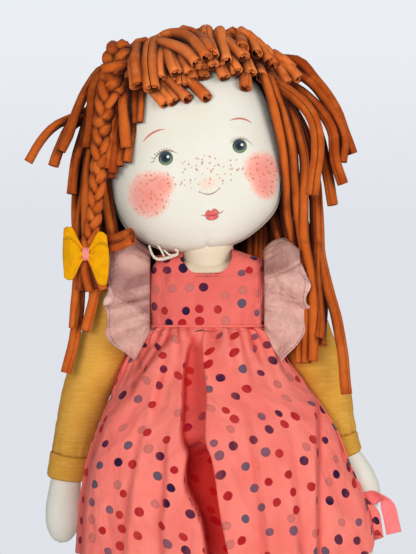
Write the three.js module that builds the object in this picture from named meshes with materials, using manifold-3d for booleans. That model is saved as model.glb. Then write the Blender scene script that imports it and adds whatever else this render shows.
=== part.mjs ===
// A standing rag doll in its clothes, in millimetres, +Z up, facing -Y, with its soles on z = 0.
// Left and right are the viewer's left (-X) and right (+X) when the doll is seen from the front.
import * as THREE from 'three';
import Module from 'manifold-3d';
import { mergeVertices } from 'three/addons/utils/BufferGeometryUtils.js';

const wasm = await Module();
wasm.setup();

// Cloth and the room between layers
const gap = 0.3;
const cloth = 0.8;

// Legs and shoes
const soleThickness = 3;
const soleHalfWidth = 14.5;
const soleHalfLength = 29;
const footForward = 10;
const footHalfWidth = 11.5;
const footHalfLength = 26;
const footHeight = 22;
const upperWall = 1.6;
const shoeOpeningHeight = 19;
const hipHeight = 232;
const hipSpacing = 46;
const hipRadius = 16;
const kneeRadius = 13;
const ankleRadius = 10.3;

// Torso and neck
const torsoHeight = 115;
const neckSink = 12;
const neckLength = 18;
const neckBaseRadius = 15;
const neckTopRadius = 16.8;
const neckWaistRadius = 15.2;

// Head, measured in its own leaning frame
const headLean = THREE.MathUtils.degToRad(9);
const headLift = 57;
const headHalfWidth = 52;
const headHalfDepth = 39;
const headHeight = 122;
const panelSeam = -4;

// Arms and sleeves, the elbow and the hand measured from the shoulder
const shoulderSpread = 49;
const shoulderDrop = 18.3;
const shoulderRadius = 14;
const armLength = 162;
const elbowRadius = 14.5;
const wristRadius = 11.2;
const palmRadius = 11.4;
const cuffThickness = 1.6;
const elbowLeft = new THREE.Vector3(-22, 9, -65);
const handLeft = new THREE.Vector3(-39, 16, -158);
const cuffLeft = { start: 107, end: 122 };
const elbowRight = new THREE.Vector3(26, 9, -65);
const handRight = new THREE.Vector3(49, 16, -153);
const cuffRight = { start: 93, end: 105 };

// Dress
const bodiceHeight = 33.5;
const skirtLength = 137.5;
const petticoatDrop = 9;
const strapWidth = 16;
const strapSpread = 25.5;
const strapReach = 16.4;
const ruffleWidth = 26;
const ruffleFlare = 15;
const ruffleDroop = 17;
const ruffleWave = 2.6;
const buttonRadius = 4;
const buttonThickness = 2;
const ribbonWidth = 12;
const cordRadius = 0.55;

// Hair
const rollRadius = 3.4;
const braidRadius = 5.2;
const bowHalfWidth = 14;
const bowHalfHeight = 16.5;
const threadRadius = 0.9;

// Heights that follow from the sizes above
const torsoBase = hipHeight + hipRadius + gap;
const torsoTop = torsoBase + torsoHeight;
const neckBase = new THREE.Vector3(0, 0, torsoTop - neckSink);
const neckTop = new THREE.Vector3(0, 0, neckBase.z + neckLength);
const shoulderHeight = torsoTop - shoulderDrop;
const bodiceTop = torsoTop - 7.8;
const waist = bodiceTop - bodiceHeight;

// Materials, one for each kind of cloth
const calico = new THREE.MeshStandardMaterial({ color: 0xece6d7, roughness: 0.9, metalness: 0 });
const filling = new THREE.MeshStandardMaterial({ color: 0xf4f1ea, roughness: 1, metalness: 0 });
const jersey = new THREE.MeshStandardMaterial({ color: 0xb8571f, roughness: 0.9, metalness: 0 });
const dotted = new THREE.MeshStandardMaterial({ color: 0xf26d68, roughness: 0.85, metalness: 0 });
const print = new THREE.MeshStandardMaterial({ color: 0xefe4da, roughness: 0.85, metalness: 0 });
const linen = new THREE.MeshStandardMaterial({ color: 0xdcb0a8, roughness: 0.9, metalness: 0 });
const mustard = new THREE.MeshStandardMaterial({ color: 0xc99b38, roughness: 0.9, metalness: 0 });
const yellow = new THREE.MeshStandardMaterial({ color: 0xf0b400, roughness: 0.9, metalness: 0 });
const pink = new THREE.MeshStandardMaterial({ color: 0xf77c80, roughness: 0.6, metalness: 0 });
const cotton = new THREE.MeshStandardMaterial({ color: 0xe9e0cc, roughness: 0.95, metalness: 0 });
const felt = new THREE.MeshStandardMaterial({ color: 0x7a4a2c, roughness: 0.7, metalness: 0 });
const shell = new THREE.MeshStandardMaterial({ color: 0xf3ead8, roughness: 0.35, metalness: 0 });

// The doll is drawn about its own middle line, then moved so that the middle of its whole width and depth is the origin
const origin = new THREE.Vector3(-3, 3, 0);
const doll = new THREE.Group();

function add(name, geometry, material) {
  const mesh = new THREE.Mesh(geometry.translate(origin.x, origin.y, origin.z), material);
  mesh.name = name;
  doll.add(mesh);
}

// A closed geometry with shared corners and its faces pointing out.
function closed(source) {
  const geometry = source.clone();
  geometry.deleteAttribute('normal');
  geometry.deleteAttribute('uv');
  const merged = mergeVertices(geometry, 1e-3);
  const place = merged.getAttribute('position');
  const index = merged.getIndex();
  const faces = [];
  const [a, b, c] = [new THREE.Vector3(), new THREE.Vector3(), new THREE.Vector3()];
  let volume = 0;
  for (let i = 0; i < index.count; i += 3) {
    const corners = [index.getX(i), index.getX(i + 1), index.getX(i + 2)];
    if (new Set(corners).size < 3) continue;
    a.fromBufferAttribute(place, corners[0]);
    b.fromBufferAttribute(place, corners[1]);
    c.fromBufferAttribute(place, corners[2]);
    volume += a.dot(b.clone().cross(c));
    faces.push(corners);
  }
  const outward = volume < 0 ? faces.map(([p, q, r]) => [p, r, q]) : faces;
  const result = new THREE.BufferGeometry();
  result.setAttribute('position', place.clone());
  result.setIndex(outward.flat());
  return result;
}

function solid(source) {
  const geometry = closed(source);
  return new wasm.Manifold(new wasm.Mesh({
    numProp: 3,
    vertProperties: new Float32Array(geometry.getAttribute('position').array),
    triVerts: new Uint32Array(geometry.getIndex().array),
  }));
}

function shape(body) {
  const mesh = body.getMesh();
  const geometry = new THREE.BufferGeometry();
  geometry.setAttribute('position', new THREE.BufferAttribute(new Float32Array(mesh.vertProperties), 3));
  geometry.setIndex(Array.from(mesh.triVerts));
  return closed(geometry);
}

const ballSides = 16;

function ball(radius, centre) {
  return solid(new THREE.SphereGeometry(radius, ballSides, ballSides / 2).translate(centre.x, centre.y, centre.z));
}

// A ball so large that even its flat faces stay clear of something round that turns inside it
function roomFor(radius, centre) {
  const flatness = Math.cos(Math.PI / ballSides) ** 2;
  return ball((radius + gap) / flatness, centre);
}

function block(low, high) {
  const size = high.clone().sub(low);
  const middle = high.clone().add(low).multiplyScalar(0.5);
  return solid(new THREE.BoxGeometry(size.x, size.y, size.z).translate(middle.x, middle.y, middle.z));
}

// The largest distance that a cutting block needs to reach past the doll
const beyond = 600;

function above(height) {
  return block(new THREE.Vector3(-beyond, -beyond, height), new THREE.Vector3(beyond, beyond, beyond));
}

function below(height) {
  return block(new THREE.Vector3(-beyond, -beyond, -beyond), new THREE.Vector3(beyond, beyond, height));
}

function inFrontOf(y) {
  return block(new THREE.Vector3(-beyond, -beyond, -beyond), new THREE.Vector3(beyond, y, beyond));
}

function behind(y) {
  return block(new THREE.Vector3(-beyond, y, -beyond), new THREE.Vector3(beyond, beyond, beyond));
}

// Stations are [height, half width, half depth]. More of them are read off a smooth curve through the few given.
function smooth(stations, count) {
  const curve = new THREE.CatmullRomCurve3(stations.map(([h, w, d]) => new THREE.Vector3(h, w, d)), false, 'centripetal');
  return curve.getPoints(count).map((p) => [p.x, Math.max(p.y, 0), Math.max(p.z, 0)]);
}

// The same stations, grown outward by a distance along the outline. The two ends stay on the axis.
function grown(stations, distance) {
  const last = stations.length - 1;
  return stations.map(([h, w, d], i) => {
    if (i === 0) return [h - distance, 0, 0];
    if (i === last) return [h + distance, 0, 0];
    const rise = stations[i + 1][0] - stations[i - 1][0];
    const widen = stations[i + 1][1] - stations[i - 1][1];
    const run = Math.hypot(rise, widen);
    const out = distance * rise / run;
    return [h - distance * widen / run, w + out, d + out];
  });
}

// A stuffed form: rings of the stations' widths and depths, squarer than an ellipse where power is above 2.
function stuffed(stations, sides, power = 2) {
  const count = stations.length;
  const lathe = new THREE.LatheGeometry(stations.map(([h, w]) => new THREE.Vector2(w, h)), sides);
  const place = lathe.getAttribute('position');
  const swell = (value) => Math.sign(value) * Math.abs(value) ** (2 / power);
  for (let i = 0; i < place.count; i += 1) {
    const angle = (Math.floor(i / count) % sides) * 2 * Math.PI / sides;
    const [h, w, d] = stations[i % count];
    place.setXYZ(i, w * swell(Math.sin(angle)), d * swell(Math.cos(angle)), h);
  }
  return lathe;
}

// Bends a form that stands along Z so that it follows a curve. Heights below 0 go on straight behind its start.
function bent(geometry, curve) {
  const place = geometry.getAttribute('position');
  const length = curve.getLength();
  for (let i = 0; i < place.count; i += 1) {
    const s = place.getZ(i);
    const t = THREE.MathUtils.clamp(s / length, 0, 1);
    const centre = curve.getPointAt(t);
    const along = curve.getTangentAt(t);
    centre.addScaledVector(along, s - t * length);
    const front = new THREE.Vector3(0, 1, 0).addScaledVector(along, -along.y).normalize();
    const side = new THREE.Vector3().crossVectors(front, along);
    centre.addScaledVector(side, place.getX(i)).addScaledVector(front, place.getY(i));
    place.setXYZ(i, centre.x, centre.y, centre.z);
  }
  return geometry;
}

// A round tube of even thickness through a few points.
function tube(points, radius, sides, steps) {
  const section = new THREE.Shape(new THREE.EllipseCurve(0, 0, radius, radius).getPoints(sides).slice(0, sides));
  const path = new THREE.CatmullRomCurve3(points);
  return new THREE.ExtrudeGeometry(section, { steps, bevelEnabled: false, extrudePath: path });
}

// A strip of cloth: place(u, v, t) puts the point at u across, v along and t through the thickness, t from -1 to 1.
function strip(across, along, place) {
  const sheet = new THREE.BoxGeometry(1, 1, 2, across, along, 1);
  const position = sheet.getAttribute('position');
  for (let i = 0; i < position.count; i += 1) {
    const p = place(position.getX(i) + 0.5, position.getY(i) + 0.5, position.getZ(i));
    position.setXYZ(i, p.x, p.y, p.z);
  }
  return sheet;
}

// Torso: widest at the hips, drawn in at the waist, with sloping shoulders
const torsoStations = smooth([
  [0, 0, 0], [0.009, 33, 20], [0.1, 38.5, 24.5], [0.25, 39, 25], [0.45, 35, 23], [0.64, 33, 22],
  [0.78, 35.5, 22], [0.88, 35, 20.5], [0.94, 31, 17.5], [0.976, 24, 12], [1, 0, 0],
].map(([share, w, d]) => [torsoBase + share * torsoHeight, w, d]), 12);
const torsoSquareness = 2.6;

function torsoForm(distance) {
  return solid(stuffed(grown(torsoStations, distance), 14, torsoSquareness));
}

const shoulders = [-1, 1].map((side) => new THREE.Vector3(side * shoulderSpread, 0, shoulderHeight));
const sleeveOuter = shoulderRadius + gap + cloth;
const shirtOuter = (sleeveOuter + gap) / Math.cos(Math.PI / ballSides) ** 2 + cloth;

// What turns in the torso's hollows: the foot of the neck and the two round shoulders
const hollows = roomFor(neckBaseRadius, neckBase)
  .add(roomFor(shirtOuter, shoulders[0]))
  .add(roomFor(shirtOuter, shoulders[1]))
  .add(above(neckBase.z).intersect(solid(new THREE.CylinderGeometry(20, 20, 60, 16).rotateX(Math.PI / 2)
    .translate(0, 0, neckBase.z))));

function makeTorso() {
  const skin = torsoForm(0).subtract(torsoForm(-cloth)).subtract(hollows);
  add('torso_skin', shape(skin), calico);
  add('torso_stuffing', shape(torsoForm(-cloth - gap).subtract(hollows)), filling);
}

// Neck: a short tube with a ball at each end, so that it can bend at its foot and carry the head on its top
function neckStations(distance) {
  const rings = [];
  const steps = 3;
  for (let i = 0; i <= steps; i += 1) {
    const angle = (i / steps) * Math.PI * 0.4;
    const radius = neckBaseRadius + distance;
    rings.push([neckBase.z - radius * Math.cos(angle), radius * Math.sin(angle), radius * Math.sin(angle)]);
  }
  const middle = (neckBase.z + neckTop.z) / 2;
  rings.push([middle, neckWaistRadius + distance, neckWaistRadius + distance]);
  for (let i = 0; i <= steps; i += 1) {
    const angle = Math.PI * (0.6 + 0.4 * (i / steps));
    const radius = neckTopRadius + distance;
    rings.push([neckTop.z - radius * Math.cos(angle), radius * Math.sin(angle), radius * Math.sin(angle)]);
  }
  return rings;
}

function makeNeck() {
  const neckSides = 13;
  const opening = solid(new THREE.CylinderGeometry(5, 5, 40, 12).rotateX(Math.PI / 2)
    .translate(0, 0, neckTop.z + neckTopRadius));
  const skin = solid(stuffed(neckStations(0), neckSides)).subtract(solid(stuffed(neckStations(-cloth), neckSides)));
  add('neck_skin', shape(skin.subtract(opening)), calico);
  const flats = neckTopRadius * (1 - Math.cos(Math.PI / neckSides));
  add('neck_stuffing', shape(solid(stuffed(neckStations(-cloth - gap - flats), neckSides))), filling);
}

// Head: broad at the cheeks, narrower at the forehead, flattened front to back, leaning to the left
const headMatrix = new THREE.Matrix4().makeRotationY(-headLean).setPosition(neckTop);
const headStations = smooth([
  [-0.496, 0, 0], [-0.475, 0.25, 0.3], [-0.45, 0.46, 0.55], [-0.4, 0.67, 0.71], [-0.33, 0.85, 0.84],
  [-0.25, 0.945, 0.92], [-0.15, 1, 0.97], [-0.04, 1, 1], [0.08, 0.965, 1], [0.21, 0.91, 0.96],
  [0.33, 0.81, 0.84], [0.42, 0.62, 0.62], [0.48, 0.35, 0.35], [0.504, 0, 0],
].map(([share, w, d]) => [headLift + share * headHeight, w * headHalfWidth, d * headHalfDepth]), 12);
const headSquareness = 2.25;

function headForm(distance) {
  return solid(stuffed(grown(headStations, distance), 16, headSquareness).applyMatrix4(headMatrix));
}

function makeHead() {
  const socket = roomFor(neckTopRadius, neckTop);
  const skin = headForm(0).subtract(headForm(-cloth)).subtract(socket);
  add('head_face_panel', shape(skin.intersect(inFrontOf(panelSeam - gap / 2))), calico);
  add('head_back_panel', shape(skin.intersect(behind(panelSeam + gap / 2))), calico);
  add('head_stuffing', shape(headForm(-cloth - gap).subtract(socket)), filling);
}

// Arms: a round shoulder, a slim wrist and a mitten hand, along a curve from shoulder to fingertip
function armRings(distance, from, to) {
  const radii = smooth([
    [0, shoulderRadius, 0], [25, shoulderRadius + 0.5, 0], [60, elbowRadius, 0], [92, 12.9, 0], [115, wristRadius, 0],
    [132, palmRadius, 0], [147, 10.6, 0], [156, 7.6, 0], [armLength, 0, 0],
  ], 9);
  const rings = [];
  if (from < 0) {
    const steps = 4;
    for (let i = 0; i < steps; i += 1) {
      const angle = (i / steps) * Math.PI / 2;
      const radius = shoulderRadius + distance;
      rings.push([-radius * Math.cos(angle), radius * Math.sin(angle), radius * Math.sin(angle)]);
    }
  } else {
    rings.push([from, radiusAt(radii, from) + distance, radiusAt(radii, from) + distance]);
  }
  const last = radii.length - 1;
  radii.forEach(([s, r], i) => {
    if (s <= from || s >= to) return;
    if (i < last) rings.push([s, r + distance, r + distance]);
  });
  if (to < armLength) rings.push([to, radiusAt(radii, to) + distance, radiusAt(radii, to) + distance]);
  else rings.push([armLength + distance, 0, 0]);
  return rings;
}

function radiusAt(rings, height) {
  const next = rings.findIndex(([h]) => h >= height);
  if (next <= 0) return rings[0][1];
  const [h0, r0] = rings[next - 1];
  const [h1, r1] = rings[next];
  return r0 + (r1 - r0) * (height - h0) / (h1 - h0);
}

// The wall between an outer and an inner set of rings, open where both end off the axis
function wall(outer, inner) {
  return outer.concat(inner.slice().reverse());
}

function makeArm(side, shoulder, elbow, hand, cuff) {
  const curve = new THREE.CatmullRomCurve3([shoulder, shoulder.clone().add(elbow), shoulder.clone().add(hand)]);
  const whole = [-1, armLength];
  const sides = 10;
  const opening = 3;
  const open = ([[top], ...rest]) => [[-Math.sqrt(top ** 2 - opening ** 2), opening, opening], ...rest];
  const skin = wall(open(armRings(0, ...whole)).reverse(), open(armRings(-cloth, ...whole)).reverse());
  add(`arm_${side}_skin`, closed(bent(stuffed(skin, sides), curve)), calico);
  add(`arm_${side}_stuffing`, closed(bent(stuffed(armRings(-cloth - gap, ...whole), sides), curve)), filling);
  const sleeveEnd = cuff.start - gap;
  const sleeve = wall(armRings(gap + cloth, -1, sleeveEnd), armRings(gap, -1, sleeveEnd));
  add(`sleeve_${side}`, closed(bent(stuffed(sleeve, sides), curve)), mustard);
  const cuffInner = armRings(gap, cuff.start, cuff.end);
  const band = wall(armRings(gap + cuffThickness, cuff.start, cuff.end), cuffInner);
  band.push(band[0]);
  add(`cuff_${side}`, closed(bent(stuffed(band, sides), curve)), mustard);
  const cap = ball(shirtOuter, shoulder).subtract(roomFor(sleeveOuter, shoulder));
  add(`shirt_shoulder_${side}`, shape(cap.intersect(above(shoulder.z + 4))), mustard);
}

// Legs and shoes
function legForm(x, distance) {
  const rings = [];
  const steps = 4;
  for (let i = 0; i < steps; i += 1) {
    const angle = (i / steps) * Math.PI / 2;
    const radius = hipRadius + distance;
    rings.push([-radius * Math.cos(angle), radius * Math.sin(angle), radius * Math.sin(angle)]);
  }
  const ankle = hipHeight - soleThickness - footHeight / 2;
  const radii = [
    [0, hipRadius], [hipHeight * 0.18, hipRadius - 0.5], [hipHeight * 0.44, kneeRadius],
    [hipHeight * 0.56, kneeRadius + 0.4], [hipHeight * 0.78, ankleRadius + 0.6], [ankle, ankleRadius],
  ];
  radii.forEach(([s, r]) => rings.push([s, r + distance, r + distance]));
  rings.push([ankle + 4 + distance, 0, 0]);
  const leg = solid(stuffed(rings, 10).rotateX(Math.PI).translate(x, 0, hipHeight));
  const foot = new THREE.SphereGeometry(1, 10, 6).rotateX(Math.PI / 2)
    .scale(footHalfWidth + distance, footHalfLength + distance, footHeight / 2 + distance)
    .translate(x, -footForward, soleThickness + gap + footHeight / 2 + upperWall);
  return leg.add(solid(foot));
}

function makeLeg(side, x) {
  const opening = solid(new THREE.CylinderGeometry(2, 2, 20, 8).rotateX(Math.PI / 2)
    .translate(x, 0, hipHeight + hipRadius));
  const skin = legForm(x, 0).subtract(legForm(x, -cloth)).subtract(opening);
  add(`leg_${side}_skin`, shape(skin), calico);
  add(`leg_${side}_stuffing`, shape(legForm(x, -cloth - gap)), filling);
  const outline = new THREE.Shape(new THREE.EllipseCurve(0, 0, soleHalfWidth, soleHalfLength).getPoints(18));
  const sole = new THREE.ExtrudeGeometry(outline, { depth: soleThickness, bevelEnabled: false });
  add(`shoe_${side}_sole`, closed(sole.translate(x, -footForward, 0)), felt);
  const upper = new THREE.SphereGeometry(1, 12, 6).rotateX(Math.PI / 2)
    .scale(footHalfWidth + upperWall, footHalfLength + upperWall, footHeight / 2 + 2 * upperWall)
    .translate(x, -footForward, soleThickness + gap + footHeight / 2 + upperWall);
  const wallOnly = solid(upper).subtract(legForm(x, gap))
    .intersect(above(soleThickness + gap))
    .intersect(below(soleThickness + shoeOpeningHeight));
  add(`shoe_${side}_upper`, shape(wallOnly), felt);
}

// Dress: bodice front and back, straps, ruffles, skirt and petticoat
function makeBodice() {
  const cover = torsoForm(2 * gap + cloth).subtract(torsoForm(gap))
    .intersect(above(waist))
    .intersect(below(bodiceTop))
    .subtract(hollows);
  add('dress_bib', shape(cover.intersect(inFrontOf(-gap / 2))), dotted);
  add('dress_back', shape(cover.intersect(behind(gap / 2))), dotted);
  const back = 22 + 3 * gap + cloth;
  ['lower', 'upper'].forEach((name, i) => {
    const disc = new THREE.CylinderGeometry(buttonRadius, buttonRadius, buttonThickness, 14);
    add(`back_button_${name}`, closed(disc.translate(0, back + buttonThickness / 2, waist + 9 + 13 * i)), shell);
  });
}

function strapPoint(side, u, v, t) {
  const rise = torsoTop + cloth + 2 * gap - bodiceTop;
  const angle = Math.PI * v;
  const outward = new THREE.Vector3(0, -Math.cos(angle), Math.sin(angle));
  const centre = new THREE.Vector3(side * strapSpread + (u - 0.5) * strapWidth, 0, bodiceTop + gap);
  return centre.add(new THREE.Vector3(0, -strapReach * Math.cos(angle), rise * Math.sin(angle)))
    .addScaledVector(outward, t * cloth / 2);
}

// The ruffle's seam runs up the bodice's side, over the shoulder and down the back
const ruffleSeam = new THREE.CatmullRomCurve3([
  new THREE.Vector3(0, -14, waist + 1), new THREE.Vector3(0, -14, waist + 16),
  new THREE.Vector3(0, -13.8, bodiceTop - 2), new THREE.Vector3(0, -11.5, bodiceTop + 6.5),
  new THREE.Vector3(0, 0, bodiceTop + 10.3), new THREE.Vector3(0, 11.5, bodiceTop + 6.5),
  new THREE.Vector3(0, 13.8, bodiceTop - 4), new THREE.Vector3(0, 14, waist + 12),
]);

function rufflePoint(side, u, v, t) {
  const seam = ruffleSeam.getPointAt(v);
  const along = ruffleSeam.getTangentAt(v);
  const outward = new THREE.Vector3(0, -along.z, along.y);
  const narrowing = THREE.MathUtils.smoothstep(v, 0.28, 0.42);
  const reach = ruffleWidth * (1 - 0.4 * narrowing) * Math.sin(Math.PI * (0.12 + 0.76 * v)) ** 0.6;
  const wave = ruffleWave * u * Math.sin(2 * Math.PI * 4.5 * v);
  const lift = ruffleFlare * u * (1 - 0.65 * narrowing);
  seam.x = side * (strapSpread + strapWidth / 2 + gap + u * reach);
  seam.z -= ruffleDroop * u * Math.max(0, 1 - v / 0.22);
  return seam.addScaledVector(outward, wave + lift + t * cloth / 2);
}

function makeTrimmings(name, side) {
  add(`strap_${name}`, closed(strip(2, 10, (u, v, t) => strapPoint(side, u, v, t))), dotted);
  add(`ruffle_${name}`, closed(strip(2, 28, (u, v, t) => rufflePoint(side, u, v, t))), linen);
}

// The skirt's reach to the left, right, front and back at each drop below the waist
const skirtShape = [
  [0, 36.7, 36.7, 25.6, 25.6], [18, 43, 47, 33, 31], [33, 53, 58, 39, 36], [44, 61, 66, 43, 39],
  [60, 67, 77, 48, 41], [78, 74, 85, 52, 43], [106, 77, 95, 56, 46], [skirtLength, 80, 104, 59, 49],
];
const widestLine = -17;
const petticoatTop = 3;

function skirtReach(drop) {
  const next = Math.max(1, skirtShape.findIndex(([d]) => d >= Math.min(drop, skirtLength)));
  const [low, high] = [skirtShape[next - 1], skirtShape[next]];
  const share = (drop - low[0]) / (high[0] - low[0]);
  return low.map((value, i) => value + share * (high[i] - value));
}

// Folds of the hanging cloth: where they lie round the skirt, how wide and how deep
const folds = [
  { angle: -88, width: 11, depth: 15 },
  { angle: -52, width: 6, depth: 6 },
  { angle: -126, width: 8, depth: 6 },
  { angle: 55, width: 9, depth: 6 },
  { angle: 90, width: 9, depth: 7 },
  { angle: 125, width: 9, depth: 6 },
];

// How far the petticoat lies inside the skirt, clear of the folds
function petticoatInset(drop) {
  return 1.7 + 17 * Math.min(drop / skirtLength, 1) ** 0.8;
}

function skirtPoint(drop, angle, inset, folded) {
  const [, left, right, front, back] = skirtReach(drop);
  const share = Math.min(drop / skirtLength, 1);
  const centre = widestLine * Math.min(1, drop / 50);
  const [c, s] = [Math.cos(angle), Math.sin(angle)];
  const waistBulge = 2 / torsoSquareness;
  const hemBulge = s < 0 ? 1 : (folded ? 1.5 : 1.1);
  const bulge = THREE.MathUtils.lerp(waistBulge, hemBulge, Math.min(1, drop / (s < 0 ? 50 : 90)));
  const across = (c < 0 ? left : right) - inset;
  const depth = s < 0 ? front + centre - inset : back - centre - inset;
  let x = Math.sign(c) * across * Math.abs(c) ** bulge;
  let y = centre + Math.sign(s) * depth * Math.abs(s) ** bulge;
  if (folded) {
    const degrees = THREE.MathUtils.radToDeg(angle);
    let dip = 0;
    folds.forEach((fold) => {
      const away = THREE.MathUtils.euclideanModulo(degrees - fold.angle + 180, 360) - 180;
      dip += fold.depth * Math.exp(-((away / fold.width) ** 2));
    });
    const inward = dip * share ** 0.8 / Math.hypot(x, y - centre);
    x -= x * inward;
    y -= (y - centre) * inward;
  }
  return [x, y];
}

function bell(top, bottom, bands, sides, insetAt, folded) {
  const drops = Array.from({ length: bands + 1 }, (_, i) => top + (i / bands) * (bottom - top));
  const rings = drops.map((drop) => [drop, insetAt(drop)]);
  const inner = drops.slice().reverse().map((drop) => [drop, insetAt(drop) + cloth]);
  const profile = rings.concat(inner, [rings[0]]);
  const lathe = new THREE.LatheGeometry(profile.map(([drop, depth]) => new THREE.Vector2(50 - depth, -drop)), sides);
  const place = lathe.getAttribute('position');
  for (let i = 0; i < place.count; i += 1) {
    const angle = (Math.floor(i / profile.length) % sides) * 2 * Math.PI / sides - Math.PI / 2;
    const [drop, depth] = profile[i % profile.length];
    const [x, y] = skirtPoint(drop, angle, depth, folded);
    place.setXYZ(i, x, y, waist - gap - drop);
  }
  return closed(lathe);
}

function makeSkirts() {
  add('dress_skirt', bell(0, skirtLength, 7, 40, () => 0, true), dotted);
  add('petticoat', bell(petticoatTop, skirtLength + petticoatDrop, 5, 22, petticoatInset, false), print);
}

// The pink tie: from the back of the waist, down between skirt and arm, its end turned over at the side
const tieRoute = new THREE.CatmullRomCurve3([
  [33, 29, 7], [46, 35, 30], [58, 31, 58], [64, 20, 79], [80, 1.5, 95], [92, -10, 102], [104, -12, 104],
  [111, -12, 113], [111, -12, 123],
].map(([x, y, drop]) => new THREE.Vector3(x, y, waist - drop)));

function makeTie() {
  const ribbon = strip(1, 18, (u, v, t) => {
    const centre = tieRoute.getPointAt(v);
    const along = tieRoute.getTangentAt(v);
    const turn = THREE.MathUtils.degToRad(60 - 140 * THREE.MathUtils.smoothstep(v, 0.5, 0.95));
    const face = new THREE.Vector3(Math.cos(turn), Math.sin(turn), 0);
    const across = new THREE.Vector3().crossVectors(along, face).normalize();
    const out = new THREE.Vector3().crossVectors(across, along);
    return centre.addScaledVector(across, (u - 0.5) * ribbonWidth).addScaledVector(out, t * cloth / 2);
  });
  add('tie_ribbon', closed(ribbon), pink);
}

// The cord lies over the left strap: each point is its place across and how far round the strap it lies
function makeCord() {
  const away = cloth / 2 + gap + cordRadius + 0.1;
  const route = [[-34.4, 55], [-30, 42], [-25, 38], [-20, 40], [-16.8, 44]];
  const points = route.map(([x, degrees]) => {
    const angle = THREE.MathUtils.degToRad(degrees);
    const rise = torsoTop + cloth + 2 * gap - bodiceTop;
    return new THREE.Vector3(x, -(strapReach + away) * Math.cos(angle),
      bodiceTop + gap + (rise + away) * Math.sin(angle));
  });
  add('neck_cord', closed(tube(points, cordRadius, 6, 12)), cotton);
}

// Hair: rolls of jersey, sewn side by side along a line on the head
function bundle(name, rolls, keepClear) {
  const whole = rolls.map(({ points, radius = rollRadius, steps = 5 }) => (
    solid(tube(points.map((p) => new THREE.Vector3(...p)), radius, 5, steps))
  )).reduce((joined, roll) => joined.add(roll));
  add(name, shape(keepClear.reduce((left, other) => left.subtract(other), whole)), jersey);
}

// A point over the head: how far to the side (-1 to 1), how far round from the forehead over the crown to the
// nape in degrees (0 faces forward, 90 is the crown, 180 faces back), and how high above the skin.
function overHead(aside, round, lift) {
  const angle = THREE.MathUtils.degToRad(round);
  const level = Math.sqrt(1 - aside ** 2);
  const direction = new THREE.Vector3(aside, -level * Math.cos(angle), level * Math.sin(angle));
  const share = Math.abs(direction.x / headHalfWidth) ** headSquareness
    + Math.abs(direction.y / headHalfDepth) ** headSquareness
    + Math.abs(2 * direction.z / headHeight) ** headSquareness;
  direction.multiplyScalar(share ** (-1 / headSquareness) + lift);
  direction.z += headLift;
  return direction.applyMatrix4(headMatrix).toArray();
}

function makeHair() {
  const scalp = headForm(gap);
  const sewn = rollRadius - 1.5;
  const seam = Array.from({ length: 7 }, (_, i) => overHead(-0.58 + 0.24 * i, 96, sewn));
  const fringe = [{ points: seam, steps: 12 }];
  const fringeCount = 12;
  for (let i = 0; i < fringeCount; i += 1) {
    const aside = -0.5 + 1.32 * (i / (fringeCount - 1));
    const end = 44 + 12 * (1 - aside ** 2);
    fringe.push({
      points: [overHead(aside, 100, sewn), overHead(aside, 84, 9.6), overHead(aside, 66, 9), overHead(aside, end, 4.5)],
      steps: 4,
    });
  }
  bundle('hair_fringe', fringe, [scalp]);

  const hang = (x, y, rise) => [x, y, neckTop.z + rise];
  const backLine = Array.from({ length: 7 }, (_, i) => overHead(-0.84 + 0.28 * i, 116, sewn));
  const backRolls = [{ points: backLine, steps: 12 }];
  const backCount = 8;
  for (let i = 0; i < backCount; i += 1) {
    const aside = -0.84 + 1.68 * (i / (backCount - 1));
    const nape = overHead(aside, 180, 8);
    const [x] = nape;
    backRolls.push({
      points: [overHead(aside, 110, sewn), overHead(aside, 135, 5), nape, hang(x * 1.05 + 2, 42, 10.7),
        hang(x * 1.1 + 4, 37, -54.3)],
      steps: 6,
    });
  }
  bundle('hair_back', backRolls, [scalp]);

  const edge = 0.9;
  const seamOf = (side) => [60, 96, 112].map((round) => overHead(side * edge, round, sewn));
  const leftRolls = [{ points: seamOf(-1), steps: 4 }];
  const rightRolls = [{ points: seamOf(1), steps: 4 }];
  const sideCount = 4;
  for (let i = 0; i < sideCount; i += 1) {
    leftRolls.push({
      points: [overHead(-edge, 72 + 13 * i, sewn), overHead(-0.99, 60, 6 + i), hang(-68 - 4 * i, -4 - 4 * i, 20.7),
        hang(-67 - 5.6 * i, -19, -17.3), hang(-67 - 5.6 * i, -20, -47.3 - 7 * i)],
    });
    rightRolls.push({
      points: [overHead(edge, 72 + 13 * i, sewn), overHead(0.99, 60, 6 + i), hang(59 + 5 * i, -10, 15.7),
        hang(58.5 + 7 * i, -18.4, -19.3), hang(58.5 + 7.2 * i, -18.4, -66.3 - 5 * i)],
    });
  }
  // The rolls that stand away from the head: two on the left, three on the right
  leftRolls.push({ points: [overHead(-edge, 96, sewn), hang(-83, 2, 78), hang(-98, 0, 67), hang(-107, 0, 51)] });
  leftRolls.push({ points: [overHead(-edge, 88, sewn), hang(-70, -14, 100), hang(-80, -14, 80), hang(-88, -12, 57)] });
  rightRolls.push({ points: [overHead(edge, 102, sewn), hang(58, -2, 108), hang(69, -8, 95), hang(88, -8, 54)] });
  rightRolls.push({ points: [overHead(edge, 88, sewn), hang(66, -14, 94), hang(76, -16, 75), hang(82, -14, 50)] });
  rightRolls.push({ points: [overHead(edge, 80, sewn), hang(66, -22, 80), hang(72, -24, 56), hang(76, -22, 26)] });
  bundle('hair_side_left', leftRolls, [scalp]);
  bundle('hair_side_right', rightRolls, [scalp]);
}

// Braid, its bow and the thread round the bow's middle
const bowCentre = new THREE.Vector3(-71, -39.8, neckTop.z - 3.3);

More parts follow.
